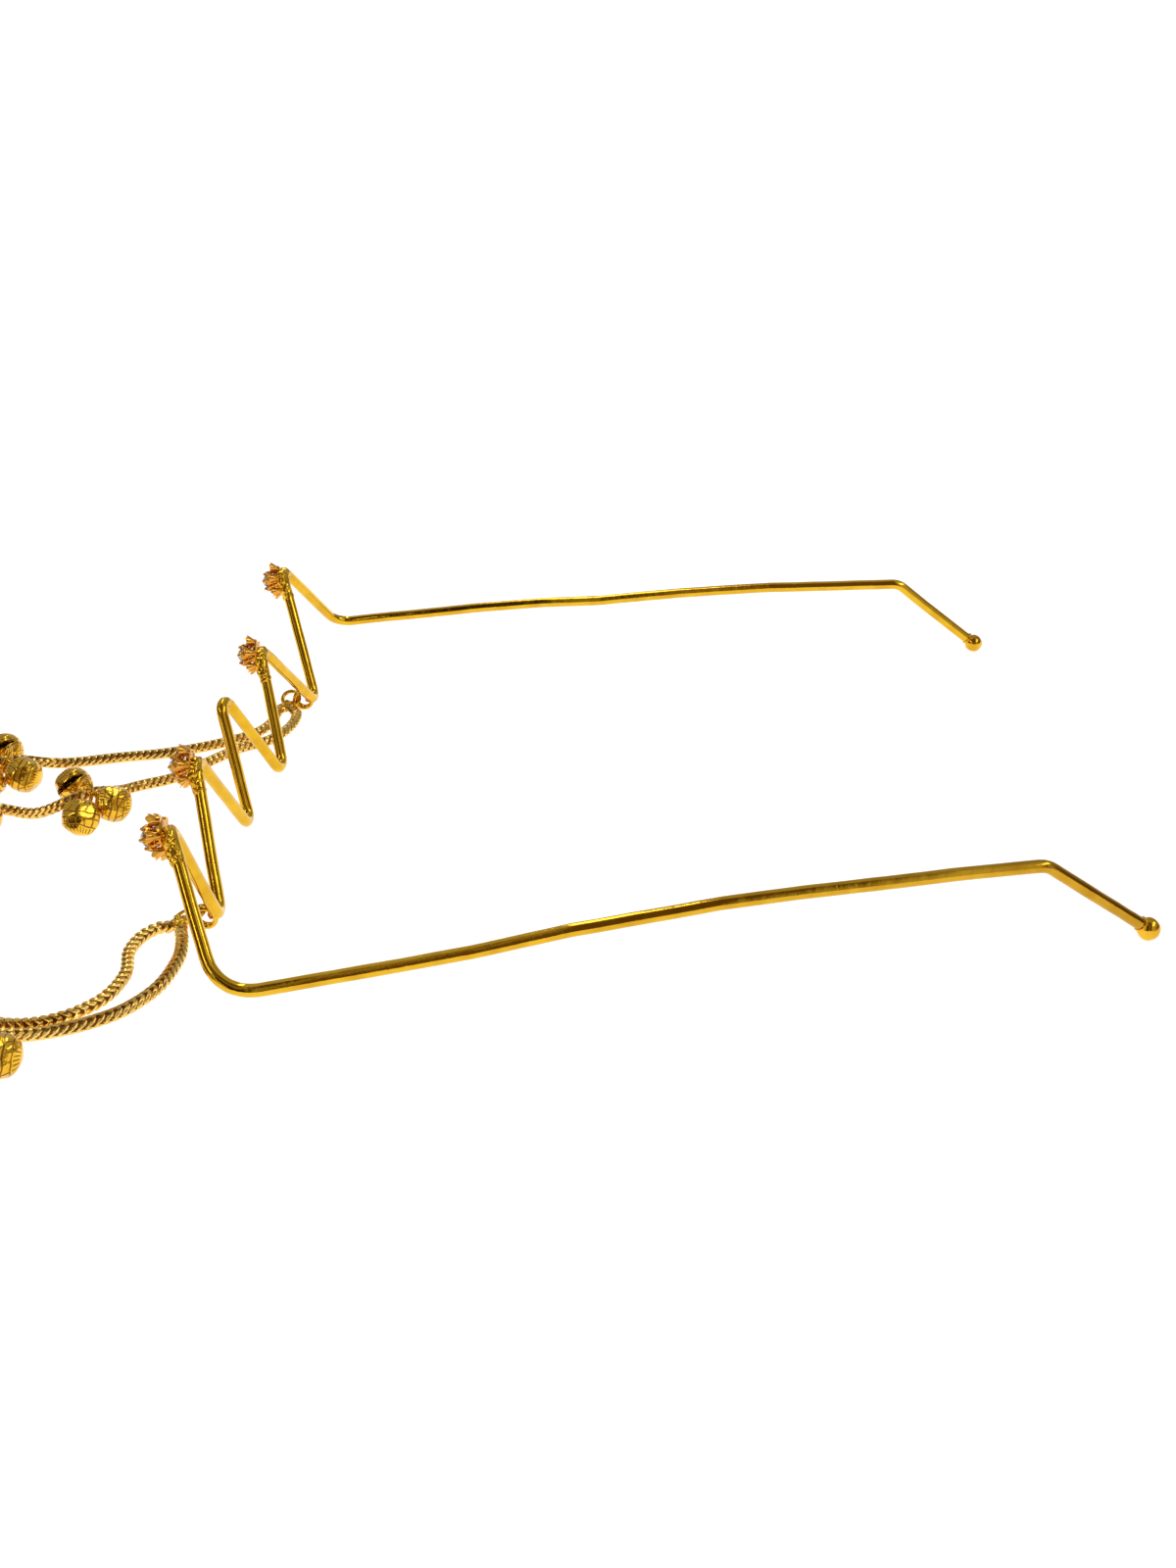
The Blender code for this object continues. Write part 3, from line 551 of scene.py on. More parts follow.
def shaded_wire_gold(name, bright, deep, roughness):
    """The wire's gold, with painted shade making it duller and browner along the near arm."""
    paint = gold(name, bright, deep, roughness, grain=0.4, ripple=0.25, pits=0.3)
    tree, shader = paint.node_tree, paint.node_tree.nodes["Principled BSDF"]
    base = shader.inputs["Base Color"].links[0].from_socket
    spot = add_node(tree, "ShaderNodeTexCoord").outputs["Object"]
    x, y, _ = add_node(tree, "ShaderNodeSeparateXYZ", {"Vector": spot}).outputs
    level = calc(tree, "SUBTRACT", y, SHADE_FROM)
    behind = calc(tree, "MULTIPLY", level, 1 / SHADE_LENGTH, clamp=True)
    near = calc(tree, "MULTIPLY", x, 1 / SHADE_EDGE, clamp=True)
    # Painted shade: the base colour is multiplied darker and browner towards the back of the near arm
    shade_tone = ramp(tree, calc(tree, "MULTIPLY", behind, near),
                ((0.0, (1.0, 1.0, 1.0)), (0.30, (0.98, 0.97, 1.0)), (0.75, (0.82, 0.78, 0.9)),
                 (1.0, (0.62, 0.56, 0.7))))
    tree.links.new(mix_colour(tree, 1.0, base, shade_tone, "MULTIPLY"), shader.inputs["Base Color"])
    return paint


def bell_gold(name, bright, deep, roughness):
    """Gold with seams in line with the slit, and beside them a row of blocks and a row of strokes,
    bumped in and darkened with painted shade.
    """
    paint = gold(name, bright, deep, roughness, grain=0.5, ripple=0.7, pits=0.4)
    tree, shader = paint.node_tree, paint.node_tree.nodes["Principled BSDF"]
    before = shader.inputs["Normal"].links[0].from_socket
    spot = add_node(tree, "ShaderNodeTexCoord").outputs["Object"]
    x, y, z = add_node(tree, "ShaderNodeSeparateXYZ", {"Vector": spot}).outputs
    waver = add_node(tree, "ShaderNodeTexNoise", {"Vector": spot, "Scale": 480.0, "Detail": 1.0})
    level = calc(tree, "SUBTRACT", y, 0.45 * MM)
    wavy = calc(tree, "MULTIPLY_ADD", waver.outputs["Fac"], 0.9 * MM, level)
    side = calc(tree, "ABSOLUTE", wavy)
    around = calc(tree, "MULTIPLY", calc(tree, "ARCTAN2", z, x), BELL_DIAMETER / 2)

    def band(place, half_width, edge):
        """One inside a band round the bell and none outside it."""
        away = calc(tree, "ABSOLUTE", calc(tree, "SUBTRACT", side, BELL_DIAMETER / 2 * place))
        inside = calc(tree, "SUBTRACT", half_width * MM, away)
        return calc(tree, "MULTIPLY", inside, edge / MM, clamp=True)

    cuts = []
    for place, half_width, pitch in ((0.345, 0.66, BLOCK_PITCH), (0.74, 0.46, STROKE_PITCH)):
        slant = calc(tree, "MULTIPLY", calc(tree, "MULTIPLY_ADD", side, 0.45, around), 1 / pitch)
        saw = calc(tree, "PINGPONG", slant, 0.5)
        edge = calc(tree, "SUBTRACT", STROKE_WIDTH / 2 / pitch, saw)
        stroke = calc(tree, "MULTIPLY", edge, 9.0 * pitch / MM, clamp=True)
        cuts.append(calc(tree, "MULTIPLY", stroke, band(place, half_width, 9.0)))
    cuts += [band(0.15, 0.17, 14.0), band(0.54, 0.10, 14.0)]
    cut = cuts[0]
    for mark in cuts[1:]:
        cut = calc(tree, "MAXIMUM", cut, mark)
    height = calc(tree, "SUBTRACT", 1.0, cut)
    bump = add_node(tree, "ShaderNodeBump", {"Height": height, "Strength": 1.0, "Distance": 0.32 * MM,
                                             "Normal": before})
    tree.links.new(bump.outputs["Normal"], shader.inputs["Normal"])
    # Painted shade: the base colour turns dark brown in the cuts and seams
    base = shader.inputs["Base Color"].links[0].from_socket
    shade = mix_colour(tree, calc(tree, "MULTIPLY", cut, 0.80), base, BELL_CUT_SHADE_COLOUR)
    tree.links.new(shade, shader.inputs["Base Color"])
    return paint


def clear_stone(name):
    """Colourless cut stone with faint clouding and polish lines."""
    paint, tree, shader = nodes_of(name)
    spot = add_node(tree, "ShaderNodeTexCoord").outputs["Object"]
    cloud = add_node(tree, "ShaderNodeTexNoise", {"Vector": spot, "Scale": 1400.0, "Detail": 3.0})
    tint = ramp(tree, cloud.outputs["Fac"], ((0.3, (0.93, 0.95, 0.97)), (0.7, (1.0, 1.0, 1.0))))
    tree.links.new(tint, shader.inputs["Base Color"])
    polish = ramp(tree, cloud.outputs["Fac"], ((0.4, grey(0.0)), (0.8, grey(0.05))))
    tree.links.new(polish, shader.inputs["Roughness"])
    shader.inputs["Transmission Weight"].default_value = 0.7
    shader.inputs["IOR"].default_value = 1.9
    return paint


# The paints of gold: bright and deep colour and roughness, and for plain gold its grain, ripple
# and pits
PAINT = {
    "wire": shaded_wire_gold("wire_gold", (0.80, 0.475, 0.028), (0.68, 0.375, 0.018), 0.11),
    "solder": gold("solder_gold", (0.84, 0.49, 0.035), (0.66, 0.33, 0.018), 0.15, 0.6, 0.7, 0.4),
    "rosette": gold("rosette_gold", (0.84, 0.43, 0.06), (0.60, 0.24, 0.02), 0.18, 0.6, 0.5, 0.4),
    "chain": gold("chain_gold", (0.94, 0.65, 0.18), (0.80, 0.49, 0.10), 0.20, 0.5, 0.2, 0.2),
    # The dark tube inside the chains: painted shade between the links
    "core": gold("chain_shadow", (0.22, 0.09, 0.015), (0.11, 0.04, 0.008), 0.5, 0.3, 0.2, 0.2),
    "bell": bell_gold("bell_gold", (0.93, 0.56, 0.05), (0.78, 0.41, 0.025), 0.14),
    "stone": clear_stone("clear_stone"),
}


# Mesh tools

class Shape:
    """Vertices and faces gathered from several forms, each with its own paint."""

    def __init__(self):
        self.vertices, self.faces, self.paints, self.used = [], [], [], []

    def add(self, vertices, faces, paint, place=Matrix()):
        start = len(self.vertices)
        self.vertices += [place @ vertex for vertex in vertices]
        self.faces += [tuple(start + i for i in face) for face in faces]
        if paint not in self.used:
            self.used.append(paint)
        self.paints += [self.used.index(paint)] * len(faces)

    def mesh(self, name, sharp=None):
        mesh = bpy.data.meshes.new(name)
        mesh.from_pydata(self.vertices, [], self.faces)
        for paint in self.used:
            mesh.materials.append(PAINT[paint])
        mesh.polygons.foreach_set("material_index", self.paints)
        mesh.update()
        mesh.shade_smooth()
        if sharp is not None:
            mesh.set_sharp_from_angle(angle=radians(sharp))
        return mesh


def sweep(points, radii, sides, closed=False):
    """A round wire along points, with a frame carried along it without twist."""
    count = len(points)
    ways = []
    for i in range(count):
        after = points[(i + 1) % count] if closed else points[min(i + 1, count - 1)]
        before = points[i - 1] if closed or i > 0 else points[0]
        ways.append((after - before).normalized())
    side = ways[0].orthogonal().normalized()
    vertices = []
    for i, (point, way) in enumerate(zip(points, ways)):
        side = (side - way * side.dot(way)).normalized()
        other = way.cross(side)
        radius = radii[i] if hasattr(radii, "__len__") else radii
        for k in range(sides):
            angle = 2 * pi * k / sides
            vertices.append(point + (side * cos(angle) + other * sin(angle)) * radius)
    faces = []
    for i in range(count if closed else count - 1):
        j = (i + 1) % count
        for k in range(sides):
            m = (k + 1) % sides
            faces.append((i * sides + k, i * sides + m, j * sides + m, j * sides + k))
    if not closed:
        faces.append(tuple(reversed(range(sides))))
        faces.append(tuple(range((count - 1) * sides, count * sides)))
    return vertices, faces


def torus(diameter, wire, segments=36, sides=12):
    """A ring of wire in its own XY plane."""
    radius = (diameter - wire) / 2
    points = [round_spot(radius, 2 * pi * k / segments) for k in range(segments)]
    return sweep(points, wire / 2, sides, closed=True)


def lathe(profile, steps):
    """A turned form from (radius, height) pairs, closed where the radius is zero."""
    vertices, rows = [], []
    for radius, height in profile:
        if radius < 1e-7:
            rows.append([len(vertices)] * steps)
            vertices.append(Vector((0, 0, height)))
            continue
        rows.append(list(range(len(vertices), len(vertices) + steps)))
        vertices += [round_spot(radius, 2 * pi * k / steps, height) for k in range(steps)]
    faces = []
    for upper, lower in zip(rows, rows[1:]):
        for k in range(steps):
            m = (k + 1) % steps
            face = [upper[k], lower[k], lower[m], upper[m]]
            face = [v for i, v in enumerate(face) if v not in face[:i]]
            if len(face) > 2:
                faces.append(tuple(face))
    return vertices, faces


def lump(size, place, seed, rough=0.12, segments=20, rings=14):
    """A ball of melted solder with soft unevenness."""
    profile = [(sin(pi * k / rings), cos(pi * k / rings)) for k in range(rings + 1)]
    profile[0], profile[-1] = (0, 1), (0, -1)
    vertices, faces = lathe(profile, segments)
    shaped = []
    for vertex in vertices:
        swell = 1 + rough * (noise.noise(vertex * 1.7 + Vector((seed, 0, 0)))
                             + 0.28 * noise.noise(vertex * 3.4 + Vector((0, seed, 0))))
        shaped.append(place @ Vector([part * half * swell for part, half in zip(vertex, size)]))
    return shaped, faces


def new_object(name, data):
    thing = bpy.data.objects.new(name, data)
    bpy.context.scene.collection.objects.link(thing)
    return thing


def piece(name, shape, nodes=(), place=Matrix(), sharp=None, mesh=None):
    """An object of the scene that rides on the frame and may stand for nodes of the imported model."""
    thing = new_object(name, mesh or shape.mesh(name, sharp))
    thing.matrix_world = ORIGIN @ place
    bpy.context.view_layer.update()
    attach(thing, "root")
    if nodes:
        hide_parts(*nodes)


# Wire frame

def wandering(points, amount):
    """A hand-bent line: each point strays a little, and slowly, from where it should be."""
    noise.seed_set(WANDER_SEED)      # without it, noise_vector starts from the clock
    strayed = []
    for point in points:
        way = noise.noise_vector(point * 42.0) + noise.noise_vector(point * 140.0) * 0.35
        strayed.append(point + Vector((way.x, way.y, way.z)) * amount)
    return strayed


def make_wire():
    shape = Shape()
    points = wandering(evenly_spaced(frame_route(), WIRE_STEP), WIRE_WANDER)
    radii = []
    for before, point, after in zip(points[:1] + points, points, points[1:] + points[-1:]):
        bend = min(1.0, ((after - point) - (point - before)).length / (0.25 * MM))
        swell = 0.025 * noise.noise(point * 300.0) + 0.05 * bend * noise.noise(point * 1100.0)
        radii.append(WIRE_DIAMETER / 2 * (1 + swell))
    shape.add(*sweep(points, radii, WIRE_SIDES), "wire")
    for end, next_point in ((points[0], points[2]), (points[-1], points[-3])):
        way = (next_point - end).normalized()
        across = way.orthogonal().normalized()
        place = frame_of(across, way.cross(across), way, end)
        ball = TIP_BALL_DIAMETER / 2
        shape.add(*lump((ball, ball, ball * 1.03), place, end.x * 900, 0.05, 28, 20), "solder")
        shape.add(*torus(WIRE_DIAMETER + TIP_COLLAR_WIRE * 1.1, TIP_COLLAR_WIRE, 28, 10), "solder",
                  place @ Matrix.Translation((0, 0, ball * 1.02)))
    piece("wire_frame", shape, ["frame_wire"], sharp=60)


# Rosettes

def claw(shape, foot, tip):
    """A prong with a rounded tip that leans in over what it holds."""
    bend = foot.lerp(tip, 0.7) + (foot - Vector((0, 0, foot.z))).normalized() * CLAW_THICKNESS * 0.35
    points = [foot, foot.lerp(bend, 0.5), bend, bend.lerp(tip, 0.6), tip]
    shape.add(*sweep(points, [CLAW_THICKNESS / 2 * s for s in (1, 1, 1.05, 0.95, 0.6)], 8), "rosette")
    ball = lump((CLAW_THICKNESS * 0.56,) * 3, Matrix.Translation(tip), tip.x * 1e4, 0.1, 8, 6)
    shape.add(*ball, "rosette")


def tulip(profile, radius, plate, depth, turn, steps):
    """A flared cup whose rim rises into four rounded claws, from rows of a profile."""
    vertices, faces = [], []
    for radius_share, plate_share, depth_share, claw_rise in profile:
        for k in range(steps):
            angle = 2 * pi * k / steps
            swell = (0.5 + 0.5 * cos(ROSETTE_CLAWS * angle)) ** 1.3
            out = radius * radius_share * (1 + 0.06 * swell)
            height = plate * plate_share + depth * depth_share + claw_rise * MM * (swell - 0.45)
            vertices.append(turn @ round_spot(out, angle, height))
    for j in range(len(profile) - 1):
        for k in range(steps):
            m = (k + 1) % steps
            faces.append((j * steps + k, (j + 1) * steps + k, (j + 1) * steps + m, j * steps + m))
    faces.append(tuple(range(steps)))
    faces.append(tuple(reversed(range((len(profile) - 1) * steps, len(profile) * steps))))
    return vertices, faces


def make_rosette(number, row):
    """A plate with six petals round a cup whose claws hold the stone."""
    shape = Shape()
    circle = (ROSETTE_DIAMETER - PETAL_DIAMETER) / 2
    plate, cup, deep = PLATE_THICKNESS, CUP_DIAMETER / 2, CUP_DEPTH
    shape.add(*lathe([(circle * out, plate * height) for out, height in PLATE_PROFILE], 36), "rosette")
    shape.add(*tulip(CUP_PROFILE, cup, plate, deep, spin(22), 32), "rosette")
    collar = Matrix.Translation((0, 0, plate + deep * 0.42))
    shape.add(*torus(cup * 1.62, 0.42 * MM, 32, 8), "rosette", collar)
    stone_radius, girdle = STONE_DIAMETER / 2, plate + deep + CLEARANCE
    for k in range(ROSETTE_CLAWS):
        angle = 2 * pi * (k + 0.25) / ROSETTE_CLAWS
        out = round_spot(1, angle)
        claw(shape, out * (stone_radius + 0.42 * MM) + UP * (plate + deep * 0.3),
             out * (stone_radius + 0.05 * MM) + UP * (girdle + STONE_CROWN * 0.6))
    petal, rim = PETAL_DIAMETER / 2, plate * 0.5 + PETAL_DEPTH
    for k in range(PETAL_COUNT):
        angle = 2 * pi * (k + 0.5) / PETAL_COUNT + radians(1)
        spot = Matrix.Translation(round_spot(circle, angle)) @ Matrix.Rotation(angle, 4, "Z")
        spot = spot @ spin(PETAL_LEAN, "Y")
        shape.add(*tulip(PETAL_PROFILE, petal, plate, rim, spot @ spin(45), 24), "rosette")
        ball, inside = (petal * 0.50, petal * 0.50, petal * 0.40), Matrix.Translation((0, 0, rim * 0.84))
        shape.add(*lump(ball, spot @ inside, k + number * 7, 0.12, 12, 8), "rosette")
    piece(f"rosette_{number}", shape, place=rosette_place(row), sharp=50)


def cut_stone():
    """A brilliant: flat table, crown, girdle and pavilion, as the hull of its corners."""
    corners = [Vector((0, 0, -STONE_PAVILION))]
    for radius, height, count, turn in STONE_CORNERS:
        for k in range(count):
            angle = 2 * pi * (k + turn) / count
            corners.append(round_spot(radius * STONE_DIAMETER / 2, angle, height))
    work = bmesh.new()
    for corner in corners:
        work.verts.new(corner)
    bmesh.ops.convex_hull(work, input=work.verts)
    bmesh.ops.dissolve_limit(work, angle_limit=radians(2), verts=work.verts, edges=work.edges)
    mesh = bpy.data.meshes.new("cut_stone")
    work.to_mesh(mesh)
    work.free()
    mesh.materials.append(PAINT["stone"])
    return mesh


def make_solder(number, row):
    """The solder that covers a fold and runs down the leg towards the near side in soft lumps."""
    shape = Shape()
    step = WIRE_STEP / 3
    line = wandering(evenly_spaced(frame_route(), step), WIRE_WANDER)
    peak = fold(row["peak"])
    top = min(range(len(line)), key=lambda i: (line[i] - peak).length)
    for along, ahead, size in SOLDER_LUMPS:
        i = top + round(along * MM / step)
        way = (line[i + 2] - line[i - 2]).normalized()
        front = Vector((0, -1, 0))
        front = (front - way * front.dot(way)).normalized()
        place = frame_of(way.cross(front), front, way, line[i] + front * ahead * MM)
        shape.add(*lump(Vector(size) * MM, place, number * 3.1 + along, 0.22, 32, 22), "solder")
    piece(f"solder_{number}", shape, sharp=80)


# Joints

def make_joint(name):
    """A valley's eye of doubled wire, and the end ring with the solder that grips both chains."""
    eye, centre, bead = joint_points(name)
    way, down = (centre - eye).normalized(), (bead - centre).normalized()
    shape = Shape()
    place = frame_of(way, UP, way.cross(UP).normalized(), eye)
    for tilt, offset in EYE_TURNS:
        spot = place @ Matrix.Translation((0, 0, offset * MM)) @ spin(tilt, "Y")
        shape.add(*torus(EYE_DIAMETER, JOINT_WIRE, 40), "solder", spot)
    valley = fold(JOINTS[name]["valley"])
    for share, size, seed in ((0.30, 1.0, 700), (0.50, 0.85, 400)):
        size = Vector((1.0, 0.95, 1.05)) * size * MM
        shape.add(*lump(size, Matrix.Translation(valley.lerp(eye, share)), eye.x * seed, 0.3), "solder")
    piece(f"eye_{name}", shape, sharp=80)
    shape = Shape()
    place = frame_of(way, down, way.cross(down).normalized(), centre)
    shape.add(*torus(END_RING_DIAMETER + 0.1 * MM, JOINT_WIRE, 40), "solder", place)
    size = SOLDER_BEAD_DIAMETER / 2 * 1.2
    ball = (size, size * 0.95, size * 0.85)
    shape.add(*lump(ball, Matrix.Translation(bead), eye.x * 300, 0.3), "solder")
    for away, share in BEAD_DROPS:
        spot = Matrix.Translation(bead + Vector(away) * size)
        shape.add(*lump((size * share,) * 3, spot, eye.x * 500 + away[1], 0.35), "solder")
    piece(f"end_ring_piece_{name}", shape, [f"end_ring_{name}"], sharp=80)


# Chains

def twist_at(name, share):
    return radians(float(np.interp(share, *zip(*CHAIN_TWISTS[name]))))


def link_loop(centre, across, rise, way):
    """One link: a closed loop of wire round a square, two corners bent forward and two bent back."""
    path = []
    for k in range(LINK_POINTS):
        angle = 2 * pi * k / LINK_POINTS
        u, v = cos(angle), sin(angle)
        lean = sin(2 * angle)
        square = (abs(u) ** LINK_SQUARENESS + abs(v) ** LINK_SQUARENESS) ** (-1 / LINK_SQUARENESS)
        reach = (CHAIN_DIAMETER / 2 - LINK_WIRE * 0.30) * square * (1 - 0.13 * max(0.0, lean))
        path.append(centre + across * u * reach + rise * v * reach + way * lean * LINK_REACH)
    return path


def make_chain(name):
    """Foxtail chain: bent loops of wire nested one into the next round a dark tube of painted shade."""
    far, near = joint_points("far")[2], joint_points("near")[2]
    line = chain_points(name, LINK_PITCH / 2)
    line = [far.lerp(line[0], 0.35)] + line + [near.lerp(line[-1], 0.35)]
    points = evenly_spaced(line, LINK_PITCH)
    flat = CHAIN_DIAMETER / 2 * LINK_FLAT
    shape = Shape()
    # A dark tube inside the links: painted shade between them
    shape.add(*sweep(points, CHAIN_DIAMETER / 2 * SHADE_CORE_SHARE, 8), "core")
    count = len(points)
    for i in range(count):
        way = (points[min(i + 1, count - 1)] - points[max(i - 1, 0)]).normalized()
        side = UP.cross(way).normalized()
        top = way.cross(side)
        turn = twist_at(name, i / (count - 1))
        across = side * cos(turn) + top * sin(turn)
        rise = top * cos(turn) - side * sin(turn)
        loop = link_loop(points[i], across, rise, way)
        vertices, faces = sweep(loop, LINK_WIRE / 2, LINK_SIDES, closed=True)
        squared = []
        for vertex in vertices:
            off = vertex - points[i]
            u, v = off.dot(across), off.dot(rise)
            flat_u, flat_v = min(max(u, -flat), flat), min(max(v, -flat), flat)
            rounded = min(1.0, flat * 1.05 / max(hypot(flat_u, flat_v), 0.01 * MM))
            squared.append(vertex + across * (flat_u * rounded - u) + rise * (flat_v * rounded - v))
        shape.add(squared, faces, "chain")
    piece(f"links_{name}", shape, [name], sharp=38)


# Bells

def bell_turn(bell):
    """How a bell with its slit along X is turned about its own middle."""
    return spin(bell["roll"]) @ spin(bell["slide"], "Y") @ spin(bell["tip"], "X")


def bell_grid(work, bell, seed, radius):
    """Rows of vertices over the bell from one end of the slit to the other, with hammered facets."""
    half_slit = BELL_SLIT / 2 / radius
    lip_turns = [half_slit, half_slit * 1.35, half_slit * 2.0]
    span = 2 * pi - 4 * half_slit
    rounds = lip_turns + [half_slit * 2 + span * k / BELL_COLUMNS for k in range(1, BELL_COLUMNS)]
    rounds += [2 * pi - turn for turn in reversed(lip_turns)]
    rng = np.random.default_rng(int(seed * 10))
    facets = [Vector(rng.normal(size=3)).normalized() for _ in range(FACET_COUNT)]
    grid = []
    for j in range(BELL_ROWS + 1):
        lean = pi * j / BELL_ROWS
        open_share = max(0.0, sin(lean)) ** 0.5
        line = []
        for turn in rounds:
            near_lip = min(turn, 2 * pi - turn)
            angle = turn
            if near_lip <= half_slit * 2.0:
                angle = near_lip * open_share * (1 if turn < pi else -1)
            level = sin(lean)
            way = Vector((cos(lean), level * sin(angle), -level * cos(angle)))
            box = sum(abs(part) ** bell["square"] for part in way) ** (1 / bell["square"])
            on_lip = near_lip <= half_slit * 1.4
            lip = LIP_RISE if on_lip and 0.2 < lean / pi < 0.8 else 1.0
            swell = 1 + 0.02 * noise.noise(way * 2.3 + Vector((seed, 0, 0)))
            spot = way * (radius / box * lip * swell)
            for facet in facets:
                proud = spot.dot(facet) - radius * FACET_REACH
                if proud > 0 and not on_lip:
                    spot -= facet * proud
            line.append(work.verts.new(spot))
        grid.append(line)
    return grid


def bell_shell(bell, seed, radius):
    """The bell's wall, closed across the two ends of its slit."""
    work = bmesh.new()
    grid = bell_grid(work, bell, seed, radius)
    for j, (line, following) in enumerate(zip(grid, grid[1:])):
        for k in range(len(line) - 1):
            work.faces.new((line[k], following[k], following[k + 1], line[k + 1]))
        if not 0.12 < (j + 0.5) / BELL_ROWS < 0.88:
            work.faces.new((line[-1], following[-1], following[0], line[0]))
    bmesh.ops.remove_doubles(work, verts=work.verts, dist=0.005 * MM)
    bmesh.ops.recalc_face_normals(work, faces=work.faces)
    if sum(face.normal.dot(face.calc_center_median()) for face in work.faces) < 0:
        bmesh.ops.reverse_faces(work, faces=work.faces)
    mesh = bpy.data.meshes.new("bell_shell")
    work.to_mesh(mesh)
    work.free()
    thing = new_object("bell_shell", mesh)
    solid = thing.modifiers.new("wall", "SOLIDIFY")
    solid.thickness = BELL_WALL * SHELL_SHARE
    solid.offset = -1
    bpy.context.view_layer.update()
    walled = bpy.data.meshes.new_from_object(thing.evaluated_get(bpy.context.evaluated_depsgraph_get()))
    bpy.data.objects.remove(thing, do_unlink=True)
    return [v.co for v in walled.vertices], [tuple(p.vertices) for p in walled.polygons]


def bell_mesh(bell, seed):
    """A hollow bell with a lipped slit along X, and its wire eye."""
    radius = BELL_DIAMETER / 2 * BELL_SHARE
    shape = Shape()
    shape.add(*bell_shell(bell, seed, radius), "bell")
    back = bell_turn(bell).inverted()
    eye = Matrix.Translation((0, 0, BELL_DIAMETER / 2 + BELL_EYE_DIAMETER / 2 - BELL_EYE_WIRE))
    shape.add(*torus(BELL_EYE_DIAMETER, BELL_EYE_WIRE, 28, 10), "solder", back @ eye @ spin(90, "X"))
    foot = Matrix.Translation((0, 0, radius * 0.985))
    shape.add(*lump((0.75 * MM, 0.75 * MM, 0.35 * MM), back @ foot, seed, 0.2), "solder")
    return shape.mesh(f"bell_{bell['name']}", 32)


def make_clusters():
    meshes = {bell["name"]: bell_mesh(bell, 3.0 + index * 5) for index, bell in enumerate(BELLS)}
    for row in CLUSTERS:
        centre, level, _, rise = cluster_ring_axes(row)
        shape = Shape()
        shape.add(*torus(CLUSTER_RING_DIAMETER, RING_WIRE, 44), "solder")
        piece(f"loop_{row['name']}", shape, [f"ring_{row['name']}"],
              frame_of(level, rise, level.cross(rise), centre))
        for bell in BELLS:
            name = f"{row['name']}{bell['name']}"
            place = bell_place(row, bell) @ bell_turn(bell)
            piece(f"jingle_{name}", None, [f"bell_{name}"], place, mesh=meshes[bell["name"]])


# Stage, light and camera

FLOOR_LOOK = {"Base Color": (0.42, 0.42, 0.42, 1), "Roughness": 0.9, "Specular IOR Level": 0.1,
              "Emission Color": (1, 1, 1, 1), "Emission Strength": 0.92}


def make_floor():
    bpy.ops.mesh.primitive_plane_add(size=30)
    floor = bpy.context.active_object
    floor.name = "floor"
    paint, _, shader = nodes_of("pale_floor")
    for key, value in FLOOR_LOOK.items():
        shader.inputs[key].default_value = value
    floor.data.materials.append(paint)


# Brightness of the dark room on the camera's side, from the front of the object to its back, as the
# sideways part of the way out and a grey value: softboxes with dark gaps between them
ROOM = (
    (-1.0, 0.10), (-0.80, 0.07), (-0.68, 0.60), (-0.58, 0.60), (-0.50, 0.05), (-0.26, 0.03),
    (-0.17, 0.40), (-0.10, 0.15), (0.20, 0.13), (0.34, 0.55), (0.52, 0.80), (0.62, 0.16),
    (0.72, 0.65), (0.88, 0.25), (1.0, 0.12),
)
# Brightness of the wall on the far side: share of the way from front to back, and a grey value
WALL = ((0.0, 0.30), (0.35, 0.48), (0.6, 0.42), (1.0, 0.30))


def warm_grey(value):
    """A grey that turns brown where it is dark, as a room behind the lamps does."""
    share = min(1.0, value / 0.5)
    return (value, value * (0.44 + 0.54 * share), value * (0.15 + 0.80 * share))


def make_world():
    """A room for the reflections, dark with strips of light on the near side and grey on the far
    side, before a plain pale backdrop."""
    world = bpy.data.worlds.new("studio")
    bpy.context.scene.world = world
    world.use_nodes = True
    tree = world.node_tree
    way = add_node(tree, "ShaderNodeTexCoord").outputs["Generated"]
    x, y, _ = add_node(tree, "ShaderNodeSeparateXYZ", {"Vector": way}).outputs
    along = calc(tree, "MULTIPLY_ADD", y, 0.5, 0.5)
    room = ramp(tree, along, [(0.5 + 0.5 * spot, warm_grey(value)) for spot, value in ROOM])
    wall = ramp(tree, along, [(spot, grey(value)) for spot, value in WALL])
    far = ramp(tree, calc(tree, "MULTIPLY_ADD", x, 0.5, 0.5), ((0.36, grey(1.0)), (0.50, grey(0.0))))
    room_light = tree.nodes["Background"]
    tree.links.new(mix_colour(tree, far, room, wall), room_light.inputs["Color"])
    backdrop = add_node(tree, "ShaderNodeBackground", {"Color": (1.0, 1.0, 1.0, 1.0)})
    seen = add_node(tree, "ShaderNodeLightPath").outputs["Is Camera Ray"]
    choice = add_node(tree, "ShaderNodeMixShader", {0: seen})
    tree.links.new(room_light.outputs[0], choice.inputs[1])
    tree.links.new(backdrop.outputs[0], choice.inputs[2])
    tree.links.new(choice.outputs[0], tree.nodes["World Output"].inputs["Surface"])


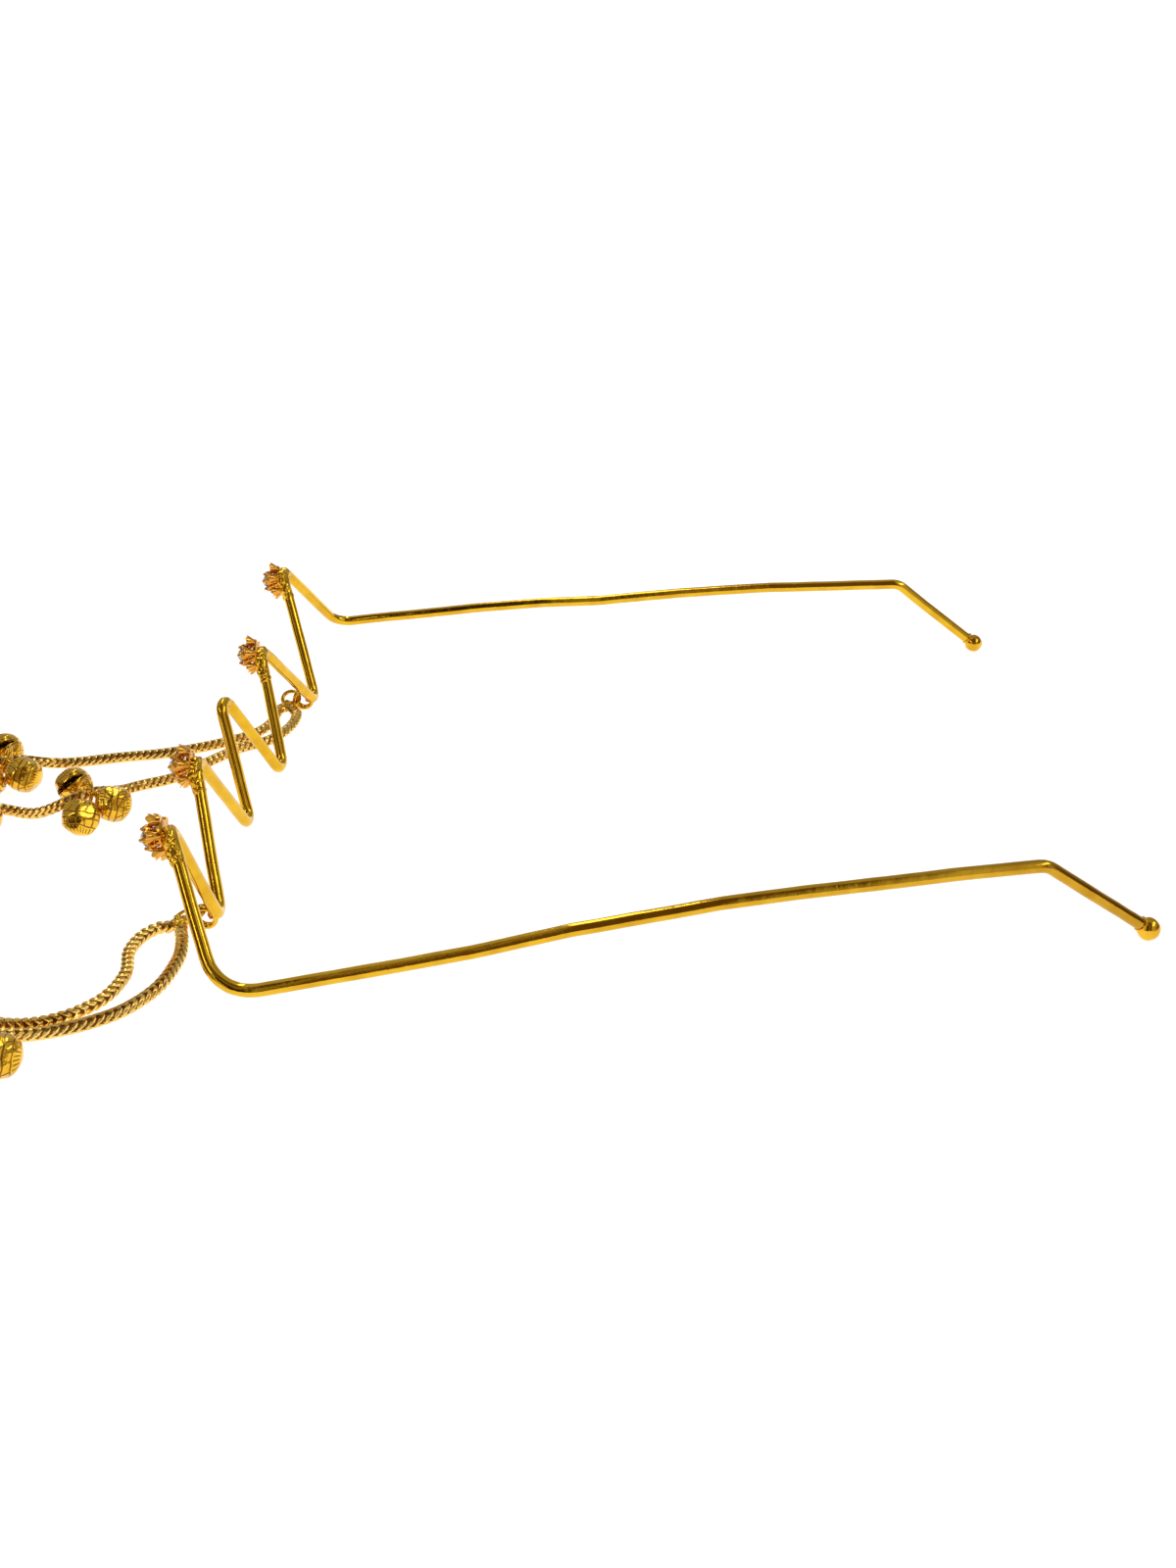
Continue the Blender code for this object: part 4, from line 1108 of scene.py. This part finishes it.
# Softboxes: place and size in metres, and power in watts; each faces the origin
LAMPS = table(
    "name place size power",
    ("front_softbox", (0.30, -0.50, 0.52), (0.5, 0.09), 0.45),
    ("back_softbox", (0.12, 0.52, 0.52), (0.5, 0.14), 0.60),
    ("far_softbox", (-0.45, -0.05, 0.62), (0.10, 0.6), 0.60),
)


def make_lights():
    for row in LAMPS:
        data = bpy.data.lights.new(row["name"], "AREA")
        data.shape = "RECTANGLE"
        data.size, data.size_y = row["size"]
        data.energy = row["power"]
        lamp = new_object(row["name"], data)
        lamp.location = row["place"]
        lamp.rotation_euler = (-Vector(row["place"])).to_track_quat("-Z", "Y").to_euler()


# Camera, in the same axes: its place, its turn round the object, its height angle and its roll
CAMERA_PLACE = Vector((265.34, 67.02, 145.43)) * MM
CAMERA_TURN = 89.56
CAMERA_HEIGHT = 28.63
CAMERA_ROLL = -1.67
CAMERA_LENS = 35.23


def make_camera():
    data = bpy.data.cameras.new("camera")
    data.sensor_width = 36
    data.lens = CAMERA_LENS
    data.clip_start = 0.01
    data.clip_end = 60
    camera = new_object("camera", data)
    turn, height, roll = (radians(v) for v in (CAMERA_TURN, CAMERA_HEIGHT, CAMERA_ROLL))
    flat = cos(height)
    back = Vector((sin(turn) * flat, -cos(turn) * flat, sin(height)))
    right = UP.cross(back).normalized()
    up = back.cross(right)
    across = right * cos(roll) + up * sin(roll)
    above = up * cos(roll) - right * sin(roll)
    camera.matrix_world = ORIGIN @ frame_of(across, above, back, CAMERA_PLACE)
    bpy.context.scene.camera = camera


make_camera()
make_floor()
make_world()
make_lights()
bpy.context.scene.view_settings.view_transform = "Standard"
make_wire()
STONE_MESH = cut_stone()
for number, row in enumerate(ROSETTES, start=1):
    make_rosette(number, row)
    make_solder(number, row)
    piece(f"cut_stone_{number}", None, [f"stone_{number}"], stone_place(row), mesh=STONE_MESH)
for joint_name in JOINTS:
    make_joint(joint_name)
for chain_name in CHAIN_ROUTES:
    make_chain(chain_name)
make_clusters()
